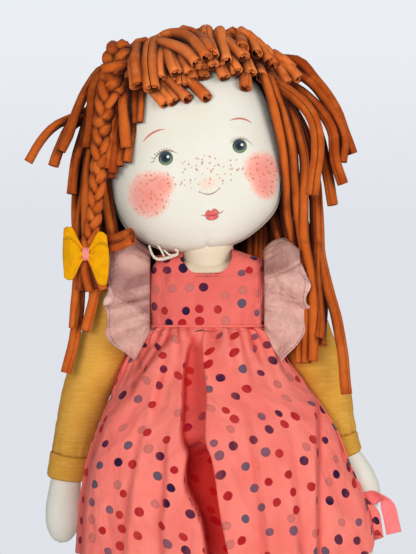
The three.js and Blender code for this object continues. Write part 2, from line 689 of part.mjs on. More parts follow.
function makeBraid() {
  const route = new THREE.CatmullRomCurve3([
    [-56, -24, 114.7], [-60, -27, 85.7], [-64, -28, 55.7], [-68, -29, 25.7], [-71, -30, -3.3], [-73, -31, -31.3],
  ].map(([x, y, rise]) => new THREE.Vector3(x, y, neckTop.z + rise)));
  const length = route.getLength();
  const rings = [[0, 0, 0]];
  const bumps = 9;
  for (let i = 0; i <= 2 * bumps; i += 1) {
    const share = i / (2 * bumps);
    const radius = braidRadius + (i % 2 ? 0.5 : -0.6) - 0.8 * share;
    rings.push([length * (0.01 + 0.98 * share), radius, radius * 0.8]);
  }
  rings.push([length, 0, 0]);
  add('braid', closed(bent(stuffed(rings, 8), route)), jersey);
  const bow = strip(8, 3, (u, v, t) => {
    const side = 2 * u - 1;
    const far = Math.abs(side);
    const height = 2.6 + (bowHalfHeight - 2.6) * Math.max(0, (far - 0.25) / 0.75) ** 0.8;
    const thick = 1.8 + 1.6 * Math.sin(Math.PI * far);
    return new THREE.Vector3(side * bowHalfWidth, t * thick, (2 * v - 1) * height).add(bowCentre);
  });
  add('braid_bow', closed(bow), yellow);
  const ring = new THREE.TorusGeometry(2.8 + gap + threadRadius + 0.6, threadRadius, 6, 14);
  ring.rotateY(Math.PI / 2).scale(1.6, 1, 1).translate(bowCentre.x, bowCentre.y, bowCentre.z);
  add('braid_bow_thread', closed(ring), pink);
}

makeTorso();
makeNeck();
makeHead();
makeArm('left', shoulders[0], elbowLeft, handLeft, cuffLeft);
makeArm('right', shoulders[1], elbowRight, handRight, cuffRight);
makeLeg('left', -hipSpacing / 2);
makeLeg('right', hipSpacing / 2);
makeBodice();
makeTrimmings('left', -1);
makeTrimmings('right', 1);
makeSkirts();
makeTie();
makeCord();
makeHair();
makeBraid();

export default doll;
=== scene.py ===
# %% [markdown]
# # A rag doll, made piece by piece
# This lesson dresses the fixed frame of a standing rag doll: a stuffed head with a painted face, hair of rolled
# jersey, a dotted dress with crinkled shoulder ruffles, mustard sleeves and a ribbon tie. Every piece is made in
# metres, in the frame's own place, and rides on the body that carries it.

# %% Load the frame
import bmesh
import bpy
import math
import random
from bisect import bisect_left
from mathutils import Matrix, Vector, noise
from mathutils.bvhtree import BVHTree
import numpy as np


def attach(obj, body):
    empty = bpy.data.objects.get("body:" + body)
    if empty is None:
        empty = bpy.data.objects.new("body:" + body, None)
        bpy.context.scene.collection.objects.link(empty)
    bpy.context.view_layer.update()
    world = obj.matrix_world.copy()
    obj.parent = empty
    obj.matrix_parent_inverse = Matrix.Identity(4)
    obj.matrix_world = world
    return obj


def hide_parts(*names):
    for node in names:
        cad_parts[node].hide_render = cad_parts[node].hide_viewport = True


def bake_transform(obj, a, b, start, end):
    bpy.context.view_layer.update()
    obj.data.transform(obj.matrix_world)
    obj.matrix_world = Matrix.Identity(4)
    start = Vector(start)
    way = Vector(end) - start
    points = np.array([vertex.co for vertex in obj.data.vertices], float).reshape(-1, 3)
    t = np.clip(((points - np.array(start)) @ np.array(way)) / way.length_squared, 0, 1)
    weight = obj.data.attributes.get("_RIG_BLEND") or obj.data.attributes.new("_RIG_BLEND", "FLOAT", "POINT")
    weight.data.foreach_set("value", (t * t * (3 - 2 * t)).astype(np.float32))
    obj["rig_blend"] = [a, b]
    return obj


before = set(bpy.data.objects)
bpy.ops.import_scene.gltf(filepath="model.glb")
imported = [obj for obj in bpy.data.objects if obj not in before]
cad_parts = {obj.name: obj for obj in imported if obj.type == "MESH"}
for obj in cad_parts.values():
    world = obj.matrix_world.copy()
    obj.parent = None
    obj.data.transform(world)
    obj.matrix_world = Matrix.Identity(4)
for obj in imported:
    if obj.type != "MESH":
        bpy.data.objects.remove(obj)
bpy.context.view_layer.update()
chance = random.Random(11)

# %% [markdown]
# ## Measures
# The doll is drawn in millimetres about its own middle line, as a pattern cutter would, and `at` turns such a place
# into metres in the frame. The camera stands level with the chest. `seen` is the reverse of the camera: it gives the
# place that lies at a pixel of the picture, at a depth of our choice. Many shapes below are tables of a few measured
# rows, and `read` draws a smooth curve through such rows, as a bent ruler would.

# %% Places on the doll
MM = 0.001
MIDDLE = Vector((-0.003, 0.003, 0.0))
PICTURE_WIDTH, PICTURE_HEIGHT = 416, 554
FACE_DEPTH = -30
CAMERA_REACH = 1100
CAMERA_SIDE = 0.6
EYE_HEIGHT = 351.8
PIXEL = 0.6


def at(x, y, z):
    return MIDDLE + Vector((x, y, z)) * MM


def seen(px, py, depth):
    grow = (depth - FACE_DEPTH + CAMERA_REACH) / CAMERA_REACH * PIXEL
    return at(CAMERA_SIDE + (px - PICTURE_WIDTH / 2) * grow, depth, EYE_HEIGHT + (PICTURE_HEIGHT / 2 - py) * grow)


# %% Reading a table, and soft steps
def read(table, x):
    """Values between the rows of a table, on a smooth curve through them."""
    last = len(table) - 1
    x = min(max(x, table[0][0]), table[last][0])
    i = next(k for k in range(last) if x <= table[k + 1][0])

    def slope(k, j):
        low, high = table[max(k - 1, 0)], table[min(k + 1, last)]
        return (high[j] - low[j]) / (high[0] - low[0])

    a, b = table[i], table[i + 1]
    h = b[0] - a[0]
    t = (x - a[0]) / h
    values = []
    for j in range(1, len(a)):
        values.append((2 * t**3 - 3 * t**2 + 1) * a[j] + (t**3 - 2 * t**2 + t) * h * slope(i, j)
                      + (3 * t**2 - 2 * t**3) * b[j] + (t**3 - t**2) * h * slope(i + 1, j))
    return values if len(values) > 1 else values[0]


def smoothstep(x, low, high):
    t = min(max((x - low) / (high - low), 0.0), 1.0)
    return t * t * (3 - 2 * t)


def bell(x, width):
    """1 at x = 0, fading to nearly nothing at twice the width."""
    return math.exp(-(x / width) ** 2)


def ripple(x, y, z, size):
    """A soft random value from -1 to 1 that changes over about `size` millimetres."""
    return noise.noise(Vector((x, y, z)) / size)


def between(before, a, b, after, t):
    """A place between a and b, with t from 0 to 1, on a smooth curve that also knows the places around them."""
    return 0.5 * (2 * a + (b - before) * t + (2 * before - 5 * a + 4 * b - after) * t**2
                  + (3 * a - before - 3 * b + after) * t**3)


print("a pixel of the face is", PIXEL, "mm wide")

# %% [markdown]
# ## The camera
# A portrait lens far away keeps the head and the hem in true proportion. The lens follows from the distance and from
# how many millimetres the upright picture shows, and the sensor's 36 mm stand for its longer side.

# %% The camera
SENSOR = 36
camera_data = bpy.data.cameras.new("camera")
camera_data.sensor_width = SENSOR
camera_data.lens = SENSOR * CAMERA_REACH / (PICTURE_HEIGHT * PIXEL)
camera = bpy.data.objects.new("camera", camera_data)
camera.location = at(CAMERA_SIDE, FACE_DEPTH - CAMERA_REACH, EYE_HEIGHT)
camera.rotation_euler = (math.radians(90), 0, 0)
scene = bpy.context.scene
scene.collection.objects.link(camera)
scene.camera = camera
print("lens", round(camera_data.lens, 1), "mm")

# %% [markdown]
# ## Floor, light and background
# The picture was taken in soft, even light against a pale blue-grey wall. The main lamp stands beside the camera at
# the left, a wider one at the right opens the shadows, and a third shines on the hair from behind.

# %% Colours and lamps
def srgb(red, green, blue):
    """A screen colour, 0 to 255, as the linear values that materials use."""
    out = []
    for value in (red, green, blue):
        c = value / 255
        out.append(c / 12.92 if c <= 0.04045 else ((c + 0.055) / 1.055) ** 2.4)
    return (*out, 1.0)


def lamp(name, place, target, size, power, colour=(1, 1, 1)):
    data = bpy.data.lights.new(name, "AREA")
    data.shape = "DISK"
    data.size = size
    data.energy = power
    data.color = colour
    light = bpy.data.objects.new(name, data)
    light.location = place
    light.rotation_euler = (Vector(target) - Vector(place)).to_track_quat("-Z", "Y").to_euler()
    scene.collection.objects.link(light)


lamp("key", (-0.4, -1.65, 0.52), (0, 0, 0.34), 0.6, 13.6)
lamp("fill", (1.0, -1.3, 0.4), (0, 0, 0.33), 1.1, 11.4)
lamp("rim", (0.5, 1.2, 1.1), (0, 0, 0.35), 0.9, 5.0)
print("lamps:", sorted(light.name for light in bpy.data.lights))

# %% [markdown]
# The world has two sides. What lights the doll is a faint, even glow. What the camera sees instead is the wall, which
# gets a little paler with height. That keeps the wall from adding light of its own.

# %% The world
def node(tree, kind, *inputs, **settings):
    """A new node with its settings. Its first inputs are linked to the sockets given, or set to the values."""
    made = tree.nodes.new("ShaderNode" + kind)
    for name, value in settings.items():
        setattr(made, name, value)
    for socket, source in zip(made.inputs, inputs):
        if isinstance(source, bpy.types.NodeSocket):
            tree.links.new(source, socket)
        elif source is not None:
            socket.default_value = source
    return made


GLOW = 0.24
WALL_LOW, WALL_HIGH = 0.03, 0.12
world = bpy.data.worlds.new("studio")
scene.world = world
world.use_nodes = True
sky = world.node_tree
sky.nodes.clear()
ambient = node(sky, "Background", (0.93, 0.95, 1.0, 1), GLOW)
sides = node(sky, "SeparateXYZ", node(sky, "TexCoord").outputs["Generated"])
wall = node(sky, "ValToRGB", node(sky, "MapRange", sides.outputs[2], WALL_LOW, WALL_HIGH).outputs[0])
wall.color_ramp.elements[0].color = srgb(224, 227, 233)
wall.color_ramp.elements[1].color = srgb(234, 238, 243)
backdrop = node(sky, "Background", wall.outputs[0])
seen_by_camera = node(sky, "LightPath").outputs["Is Camera Ray"]
choose = node(sky, "MixShader", seen_by_camera, ambient.outputs[0], backdrop.outputs[0])
node(sky, "OutputWorld", choose.outputs[0])
scene.view_settings.view_transform = "Standard"
print("world nodes:", len(sky.nodes))

# %% [markdown]
# ## A small language for cloth
# Cloth is never one flat colour. The `Field` class below wraps one socket of a material, so that a pattern can be
# written as sums and products instead of node by node. A field is a number that changes over the surface.

# %% Fields
class Field:
    def __init__(self, tree, socket):
        self.tree = tree
        self.socket = socket

    def do(self, operation, *others):
        values = [other.socket if isinstance(other, Field) else other for other in others]
        return Field(self.tree, node(self.tree, "Math", self.socket, *values, operation=operation).outputs[0])

    def __add__(self, other):
        return self.do("ADD", other)

    def __sub__(self, other):
        return self.do("SUBTRACT", other)

    def __mul__(self, other):
        return self.do("MULTIPLY", other)

    def __truediv__(self, other):
        return self.do("DIVIDE", other)

    def __abs__(self):
        return self.do("ABSOLUTE")

    def step(self, low, high):
        """1 where the field is under `low`, 0 over `high`, smooth between."""
        made = node(self.tree, "MapRange", self.socket, low, high, 1.0, 0.0, interpolation_type="SMOOTHSTEP")
        return Field(self.tree, made.outputs[0])


# %% [markdown]
# A `Finish` is a material in the making. It starts with a ground colour, and each `paint` lays another colour over it
# through a mask, as dye or thread would. `raise_by` adds relief in millimetres, which ends in one bump.

# %% Finishes
class Finish:
    """A material under construction: coordinates, colour layers and bump."""

    def __init__(self, name, rough=0.9, sheen=0.04):
        self.material = bpy.data.materials.new(name)
        self.material.use_nodes = True
        self.tree = self.material.node_tree
        self.surface = self.tree.nodes["Principled BSDF"]
        self.surface.inputs["Roughness"].default_value = rough
        self.surface.inputs["Sheen Weight"].default_value = sheen
        self.surface.inputs["Specular IOR Level"].default_value = 0.12
        self.coordinates = node(self.tree, "TexCoord")
        self.height = None

    def place(self, source="Object"):
        return self.coordinates.outputs[source]

    def parts(self, source="Object"):
        """The coordinates as three fields, in millimetres of the doll."""
        split = node(self.tree, "SeparateXYZ", self.place(source))
        middle = MIDDLE if source == "Object" else (0, 0, 0)
        return [(Field(self.tree, split.outputs[i]) - middle[i]) * 1000 for i in range(3)]

    def noise(self, size, source="Object", detail=2.0, scale=(1, 1, 1)):
        """Soft random values from 0 to 1 that change over about `size` millimetres."""
        stretched = node(self.tree, "Mapping", self.place(source), None, None, scale)
        made = node(self.tree, "TexNoise", stretched.outputs[0], None, 1000 / size, detail)
        return Field(self.tree, made.outputs[0])

    def points(self, vector, scale, spacing, loose):
        """Scattered points on a plane: the distance to the nearest in millimetres, and two random fields of its own."""
        made = node(self.tree, "TexVoronoi", vector, None, scale, voronoi_dimensions="2D")
        made.inputs["Randomness"].default_value = loose
        lottery = node(self.tree, "SeparateColor", made.outputs["Color"])
        return Field(self.tree, made.outputs["Distance"]) * spacing, *(
            Field(self.tree, lottery.outputs[i]) for i in range(2))

    def cells(self, spacing, loose=1.0):
        return self.points(self.place("UV"), 1000 / spacing, spacing, loose)

    def speckles(self, a, b, spacing):
        plane = node(self.tree, "CombineXYZ", (a / spacing).socket, (b / spacing).socket)
        return self.points(plane.outputs[0], 1, spacing, 1.0)

    def attribute(self, name):
        return Field(self.tree, node(self.tree, "Attribute", attribute_name=name).outputs["Fac"])

    def threads(self, pitch, source="UV", axis="X", blur=2.0):
        """Fine parallel threads, one every `pitch` millimetres."""
        scale = 1000 / pitch / 20 * math.pi
        made = node(self.tree, "TexWave", self.place(source), scale, blur, 1.0, bands_direction=axis)
        return Field(self.tree, made.outputs["Fac"])

    def start(self, colour):
        ground = node(self.tree, "RGB")
        ground.outputs[0].default_value = srgb(*colour)
        self.colour = ground.outputs[0]

    def paint(self, mask, colour, strength=1.0):
        """Lays a colour over what is there, as far as the mask says."""
        made = node(self.tree, "Mix", (mask * strength).socket, data_type="RGBA")
        self.tree.links.new(self.colour, made.inputs[6])
        if isinstance(colour, tuple):
            made.inputs[7].default_value = srgb(*colour)
        else:
            self.tree.links.new(colour, made.inputs[7])
        self.colour = made.outputs[2]

    def raise_by(self, field, amount):
        """Adds relief, in millimetres."""
        part = field * (amount * MM)
        self.height = part if self.height is None else self.height + part

    def done(self):
        self.tree.links.new(self.colour, self.surface.inputs["Base Color"])
        if self.height is not None:
            bump = node(self.tree, "Bump", 1.0, 1.0)
            self.tree.links.new(self.height.socket, bump.inputs["Height"])
            self.tree.links.new(bump.outputs[0], self.surface.inputs["Normal"])
        return self.material


def dyed(name, ground, blotches, amount, size, soft=(0.35, 0.65), detail=3, relief=(), **surface):
    """A finish of one colour with blotches of a second. Relief comes in rows of size, detail and height."""
    cloth = Finish(name, **surface)
    cloth.start(ground)
    cloth.paint(cloth.noise(size, detail=detail).step(*soft), blotches, amount)
    for grain, fineness, height in relief:
        cloth.raise_by(cloth.noise(grain, detail=fineness), height)
    return cloth


# %% [markdown]
# ## Making meshes
# Two ways of making cover nearly every piece. `drape` starts from a flat bmesh grid, as cut cloth does, and lays it
# where a small function says. `draw_along` extrudes the edges of a section ring after ring along a line, as a rope
# maker or a tube bender would. A sheet gets its thickness last, from a modifier.

# %% From a bmesh to a piece
def cut(bm, spot, normal, clear=True):
    """Cuts a bmesh along a plane, and clears what lies on the normal's side of it."""
    bmesh.ops.bisect_plane(bm, geom=bm.verts[:] + bm.edges[:] + bm.faces[:], plane_co=spot, plane_no=normal,
                           clear_outer=clear)


def finish_piece(name, bm, material, smooth=True):
    mesh = bpy.data.meshes.new(name)
    bm.to_mesh(mesh)
    bm.free()
    mesh.materials.append(material)
    for face in mesh.polygons:
        face.use_smooth = smooth
    piece = bpy.data.objects.new(name, mesh)
    scene.collection.objects.link(piece)
    return piece


def thicken(piece, thickness, offset=0.0):
    wall = piece.modifiers.new("thickness", "SOLIDIFY")
    wall.thickness = thickness * MM
    wall.offset = offset
    return piece


# %% Pieces from a flat grid
def distances(line):
    """How far along the line each of its places lies, in metres."""
    walked = [0.0]
    for a, b in zip(line, line[1:]):
        walked.append(walked[-1] + (b - a).length)
    return walked


def drape(name, across, along, place, material, tip=None, shift=(0, 0), shade=None, keep=None):
    """Lays a grid where place(u, v) says, with u and v from 0 to 1. The print is charted on the laid cloth, so that it
    keeps its size: straight, or round the tip of a cone that lies `tip` millimetres above the grid's top edge."""
    spots = [[place(i / across, j / along) for i in range(across + 1)] for j in range(along + 1)]
    middle = across // 2
    down = [way / MM for way in distances([row[middle] for row in reversed(spots)])][::-1]
    charted = []
    for j, row in enumerate(spots):
        steps = distances(row)
        reach = [(step - steps[middle]) / MM for step in steps]
        if tip is None:
            line = [(x, -down[j]) for x in reach]
        else:
            far = tip + down[j]
            line = [(far * math.sin(x / far), -far * math.cos(x / far)) for x in reach]
        charted.append([Vector((x + shift[0], y + shift[1])) * MM for x, y in line])
    bm = bmesh.new()
    chart = bm.loops.layers.uv.new("UVMap")
    bmesh.ops.create_grid(bm, x_segments=across, y_segments=along, size=0.5)
    # Each vertex keeps its painted shade, where the caller gives it.
    deep = bm.verts.layers.float.new("shade")
    cell = {}
    for vertex in bm.verts:
        i, j = round((vertex.co.x + 0.5) * across), round((vertex.co.y + 0.5) * along)
        cell[vertex] = (i, j)
        vertex.co = spots[j][i]
        vertex[deep] = shade(i / across, j / along) if shade else 0.0
    for face in bm.faces:
        for loop in face.loops:
            i, j = cell[loop.vert]
            loop[chart].uv = charted[j][i]
    if keep:
        spare = []
        for face in bm.faces:
            corners = [cell[vertex] for vertex in face.verts]
            u, v = sum(i for i, j in corners) / 4 / across, sum(j for i, j in corners) / 4 / along
            if not keep(u, v):
                spare.append(face)
        bmesh.ops.delete(bm, geom=spare, context="FACES")
    bmesh.ops.recalc_face_normals(bm, faces=bm.faces)
    return finish_piece(name, bm, material)


# %% [markdown]
# Cords, rolls and tubes need a line first. A few places are enough: the line is drawn smoothly through them, and then
# walked in even steps, so that the rings of the mesh lie evenly too.

# %% Lines
FINE = 10


def smooth_line(points, step):
    """Even steps, about `step` millimetres apart, on a smooth curve through the points."""
    ends = [2 * points[0] - points[1], *points, 2 * points[-1] - points[-2]]
    dense = []
    for a, b, c, d in zip(ends, ends[1:], ends[2:], ends[3:]):
        dense += [between(a, b, c, d, k / FINE) for k in range(FINE)]
    dense.append(points[-1])
    walked = distances(dense)
    count = max(2, round(walked[-1] / (step * MM)))
    line, i = [], 0
    for k in range(count + 1):
        want = walked[-1] * k / count
        while i < len(dense) - 2 and walked[i + 1] < want:
            i += 1
        share = (want - walked[i]) / max(walked[i + 1] - walked[i], 1e-9)
        line.append(dense[i].lerp(dense[i + 1], share))
    return line


# %% Pieces along a line
def draw_along(section, line, up, size=None, closed=False, caps=False):
    """A bmesh of a section (x, y in mm) drawn along a line. size(t) scales it, t from 0 to 1."""
    bm = bmesh.new()
    around = bm.verts.layers.float.new("around")
    along = bm.verts.layers.float.new("along")
    last = len(line) - 1
    places = []
    for i, point in enumerate(line):
        ahead = (line[min(i + 1, last)] - line[max(i - 1, 0)]).normalized()
        up = (up - ahead * up.dot(ahead)).normalized()
        side = ahead.cross(up)
        grow = size(i / last) if size else 1.0
        place = Matrix((side, up, ahead)).transposed().to_4x4() @ Matrix.Diagonal((grow, grow, grow, 1))
        place.translation = point
        places.append(place)
    ring = []
    for i, (x, y) in enumerate(section):
        vertex = bm.verts.new(places[0] @ (Vector((x, y, 0)) * MM))
        vertex[around] = i / len(section)
        ring.append(vertex)
    pairs = list(zip(ring, ring[1:])) + ([(ring[-1], ring[0])] if closed else [])
    edges = [bm.edges.new(pair) for pair in pairs]
    if caps:
        bm.faces.new(ring)
    walked = 0.0
    for i in range(1, last + 1):
        made = bmesh.ops.extrude_edge_only(bm, edges=edges)["geom"]
        fresh = {v for v in made if isinstance(v, bmesh.types.BMVert)}
        edges = [e for e in made if isinstance(e, bmesh.types.BMEdge) and set(e.verts) <= fresh]
        bmesh.ops.transform(bm, matrix=places[i] @ places[i - 1].inverted(), verts=list(fresh))
        walked += (line[i] - line[i - 1]).length
        for vertex in fresh:
            vertex[along] = walked
    if caps:
        bmesh.ops.contextual_create(bm, geom=edges)
    return bm


def gather(parts):
    """Several bmeshes as one."""
    whole = bmesh.new()
    for part in parts:
        mesh = bpy.data.meshes.new("part")
        part.to_mesh(mesh)
        part.free()
        whole.from_mesh(mesh)
        bpy.data.meshes.remove(mesh)
    return whole


def circle(radius, sides, flat=1.0):
    return [(radius * math.cos(2 * math.pi * i / sides), flat * radius * math.sin(2 * math.pi * i / sides))
            for i in range(sides)]


# %% [markdown]
# ## Stuffed forms
# The head and the body are bags of woven cloth, stuffed tight. Each is a round bmesh ball whose rings are laid on
# the stations of a profile: height, half width and half depth. The profile is mirrored past both poles, so that the
# crown and the chin come out round and not pointed.

# %% A ball laid on a profile
def ball_on_profile(stations, power, columns, rings):
    last = len(stations) - 1

    def row(i):
        if 0 <= i <= last:
            return Vector(stations[i])
        h, w, d = stations[-i if i < 0 else 2 * last - i]
        return Vector((h, -w, -d))

    bm = bmesh.new()
    bmesh.ops.create_uvsphere(bm, u_segments=columns, v_segments=rings, radius=1)
    for vertex in bm.verts:
        down = math.acos(max(-1.0, min(1.0, -vertex.co.z))) / math.pi * last
        i = min(int(down), last - 1)
        t = down - i
        h, w, deep = between(row(i - 1), row(i), row(i + 1), row(i + 2), t)
        angle = math.atan2(vertex.co.y, vertex.co.x)
        cos, sin = math.cos(angle), math.sin(angle)
        vertex.co = Vector((w * math.copysign(abs(cos) ** (2 / power), cos),
                            deep * math.copysign(abs(sin) ** (2 / power), sin), h))
    return bm


# %% [markdown]
# The head leans to one side, so it has a frame of its own: `on_head` leans a place and sets it on the neck. A dart is
# pinched into the chin, and a soft ripple keeps the stuffing from looking turned on a lathe.

# %% The head's shape
NECK_TOP = Vector((0, 0, 369.3))
HEAD_LEAN = math.radians(9)
HEAD_WIDTH, HEAD_DEPTH, HEAD_HEIGHT, HEAD_LIFT = 53.6, 39, 122, 57
HEAD_PROFILE = [(HEAD_LIFT + share * HEAD_HEIGHT, w * HEAD_WIDTH, d * HEAD_DEPTH) for share, w, d in (
    (-0.496, 0, 0), (-0.475, 0.25, 0.3), (-0.45, 0.46, 0.55), (-0.4, 0.67, 0.71), (-0.33, 0.85, 0.84),
    (-0.25, 0.945, 0.92), (-0.15, 1, 0.97), (-0.04, 1, 1), (0.08, 0.985, 1), (0.21, 0.945, 0.96),
    (0.33, 0.84, 0.84), (0.42, 0.63, 0.62), (0.48, 0.35, 0.35), (0.504, 0, 0))]
LEAN = Matrix.Rotation(-HEAD_LEAN, 4, "Y")


def on_head(local):
    """A place in the head's own leaning frame, in millimetres, as a place in metres."""
    return at(*(LEAN @ Vector(local) + NECK_TOP))


head_bm = ball_on_profile(HEAD_PROFILE, 2.25, 144, 110)
for vertex in head_bm.verts:
    x, y, z = vertex.co
    dart = bell(x, 1.3) * smoothstep(-y, 4, 16) * smoothstep(-z, -14, 2)
    push = 0.35 * ripple(x, y, z, 22) - 1.3 * dart
    vertex.co = on_head(vertex.co + Vector((x, y, z - HEAD_LIFT)).normalized() * push)
bmesh.ops.recalc_face_normals(head_bm, faces=head_bm.faces)
head_tree = BVHTree.FromBMesh(head_bm)


# %% Places on the face
def settle(px, py, lift):
    """The place at a pixel that lies `lift` millimetres off the head, as seen from the front, or else nearest it."""
    best, best_gap = None, 1e9
    for depth in range(-78, 22):
        point = seen(px, py, depth)
        gap = head_tree.find_nearest(point)[3] / MM
        if gap <= lift:
            return point
        if gap < best_gap:
            best, best_gap = point, gap
    return best


def face_spot(px, py):
    """Where a pixel falls on the face, across and up, in millimetres."""
    point = (settle(px, py, 0.8) - MIDDLE) / MM
    return point.x, point.z


print("face at the eye:", [round(v, 1) for v in face_spot(165.7, 158)])

# %% [markdown]
# ## The painted face
# The face is painted on cream calico: two round eyes with green irises, thin brows, a fine nose line, a small red
# mouth, soft pink cheeks and many freckles. The paint is written as distances on the cloth. Each feature turns with
# the head's lean, so all of them share one tilted pair of axes.

# %% Shapes that can be painted
def local_axes(u, v, centre, turn=HEAD_LEAN):
    """Distances along and across a tilted pair of axes through `centre`."""
    across, up = u - centre[0], v - centre[1]
    c, s = math.cos(turn), math.sin(turn)
    return across * c + up * s, up * c - across * s


def oval(a, b, half_width, half_height):
    """1 on the outline of an oval, less inside it."""
    return ((a / half_width).do("POWER", 2) + (b / half_height).do("POWER", 2)).do("SQRT")


def stroke(u, v, start, middle, end, width):
    """A brush stroke through three places, thinner at its ends: 1 on the line, 0 off it."""
    (x0, y0), (x1, y1), (x2, y2) = start, middle, end
    length = math.hypot(x2 - x0, y2 - y0)
    turn = math.atan2(y2 - y0, x2 - x0)
    c, s = math.cos(turn), math.sin(turn)
    m, n = (x1 - x0) * c + (y1 - y0) * s, (y1 - y0) * c - (x1 - x0) * s
    bow = n * length**2 / (4 * m * (length - m))
    a, b = local_axes(u, v, start, turn)
    t = (a / length).do("MINIMUM", 1.02).do("MAXIMUM", -0.02)
    arch = t * (t * -1 + 1) * (4 * bow)
    off = abs(b - arch)
    beyond = abs(a / length - t) * length
    taper = (t * (t * -1 + 1) * 4).do("MAXIMUM", 0.05).do("POWER", 0.5)
    return ((off + beyond * 3) / (taper * width)).step(0.6, 1.3)


def speck(u, v, centre, radius, soft=0.5):
    a, b = u - centre[0], v - centre[1]
    return oval(a, b, radius, radius).step(1 - soft, 1 + soft)


# %% [markdown]
# The calico comes first, a little blotchy as unbleached cloth is. The paint only shows on the front of the head, so
# everything is multiplied by `front`. Cheeks are rouge rubbed on in three thin coats, each smaller and stronger.

# %% Calico and cheeks
calico_face = dyed("painted_calico", (238, 234, 220), (234, 228, 210), 0.7, 30, rough=0.92)
fu, fdepth, fv = calico_face.parts()
front = fdepth.step(-12, -8)


def dab(mask, colour, strength=1.0):
    calico_face.paint(mask * front, colour, strength)


def blush(spots, colour, strength, full, gone):
    """Soft rouge over a few ovals that run together: full strength up to one share of their size, gone at another."""
    near = None
    for spot, wide, high in spots:
        a, b = local_axes(fu, fv, face_spot(*spot))
        shape = oval(a, b, wide, high)
        near = shape if near is None else near.do("SMOOTH_MIN", shape, 0.35)
    grain = calico_face.noise(1.4, detail=3) * 0.5 - 0.25
    dab((near + grain).step(full, gone), colour, strength)


LEFT_CHEEK = [((148.5, 195), 11.8, 13), ((160, 185.5), 8.0, 7.5)]
RIGHT_CHEEK = [((262.5, 170), 10.8, 10.6), ((264.5, 183), 7.6, 9.5)]
for cheek in (LEFT_CHEEK, RIGHT_CHEEK):
    blush(cheek, (252, 204, 184), 0.9, 0.92, 1.22)
    blush(cheek, (250, 166, 150), 0.8, 0.66, 1.1)
    blush(cheek, (246, 128, 116), 0.5, 0.0, 0.9)
blush([((208, 183.5), 7.5, 4.4)], (246, 212, 194), 0.75, 0.3, 1.1)

# %% [markdown]
# The freckles were dabbed on with a fine brush over the nose and both cheeks. Scattered points give one dab each, and
# a lottery per point leaves some out and changes their size. Two layers with different spacing hide the grid.

# %% Freckles
FRECKLED = [((150, 194), 14, 14), ((263, 175), 12, 14), ((206, 172), 27, 9.5), ((200, 160), 11, 5)]
cheeks = None
for spot, wide, high in FRECKLED:
    a, b = local_axes(fu, fv, face_spot(*spot))
    area = oval(a, b, wide, high).step(0.88, 1.0)
    cheeks = area if cheeks is None else cheeks.do("MAXIMUM", area)
for spacing, share, turn in ((3.5, 0.66, 0.0), (4.1, 0.5, 40.0)):
    near, drawn, girth_draw = calico_face.speckles(fu + turn, fv + turn * 2, spacing)
    freckle = (near / (girth_draw * 0.28 + 0.4)).step(0.6, 1.35) * cheeks * front
    freckle = freckle * drawn.step(share, share + 0.04)
    calico_face.paint(freckle, (200, 110, 70), 0.66)
print("freckle layers laid over", len(FRECKLED), "areas")


# %% [markdown]
# Brows, eyes, nose and mouth are drawn with strokes and ovals. Each stroke knows only three pixels of the picture,
# and `face_spot` finds where they fall on the stuffed head.

# %% Brows and eyes
def paint_line(start, middle, end, width, colour, strength=1.0):
    dab(stroke(fu, fv, face_spot(*start), face_spot(*middle), face_spot(*end), width), colour, strength)


BROW = (206, 96, 74)
paint_line((143.2, 141.8), (151.5, 133.6), (164.5, 129.2), 0.6, BROW, 0.9)
paint_line((230, 120.4), (240.5, 118.4), (252, 123), 0.6, BROW, 0.9)

LASH = (128, 92, 80)


def eye(px, py, left, top, right, strength):
    centre = face_spot(px, py)
    a, b = local_axes(fu, fv, centre)
    ball = oval(a, b, 4.35, 4.25)
    dab(ball.step(0.93, 1.07), (66, 84, 70))
    ring = oval(a, b + 0.5, 3.9, 3.7)
    dab(ring.step(0.85, 1.0), (128, 154, 112), 0.85)
    dab(oval(a, b - 0.4, 3.3, 3.25).step(0.84, 1.06), (58, 70, 84))
    dab(oval(a, b - 0.2, 1.9, 2.0).step(0.7, 1.15), (38, 42, 58))
    dab(speck(a, b, (1.5, 0.6), 0.75), (250, 250, 248))
    paint_line(left, top, right, 0.42, LASH, strength)
    angle = b.do("ARCTAN2", a) * (11 / math.pi)
    spoke = (abs(angle.do("FRACT") - 0.5) * 2).step(0.24, 0.5)
    reach = oval(a, b + 1.6, 5.0, 5.0)
    band = reach.step(1.45, 1.6) * reach.step(1.08, 1.18).do("SUBTRACT", 1).do("ABSOLUTE")
    dab(spoke * band * (b * -1).step(-3.4, -2.6), LASH, 0.75 * strength)


eye(165.7, 158.2, (153, 162), (164, 151), (177.5, 153.5), 0.95)
eye(239.7, 146.0, (229.5, 144.5), (240, 138.6), (253.5, 146.2), 0.7)
for start, middle, end in (((155, 161), (152.5, 161.7), (150.5, 163)), ((155, 158.5), (153, 158), (151, 157.5)),
                           ((156.5, 155.8), (155, 154.6), (154, 153.2))):
    paint_line(start, middle, end, 0.25, LASH, 0.8)

# %% Nose and mouth
PENCIL = (158, 104, 88)
paint_line((199.5, 191.8), (208.5, 194.2), (219.5, 188.2), 0.4, PENCIL, 0.85)
for dot in ((199.6, 192.0), (219.3, 188.4)):
    dab(speck(fu, fv, face_spot(*dot), 0.55), PENCIL, 0.7)

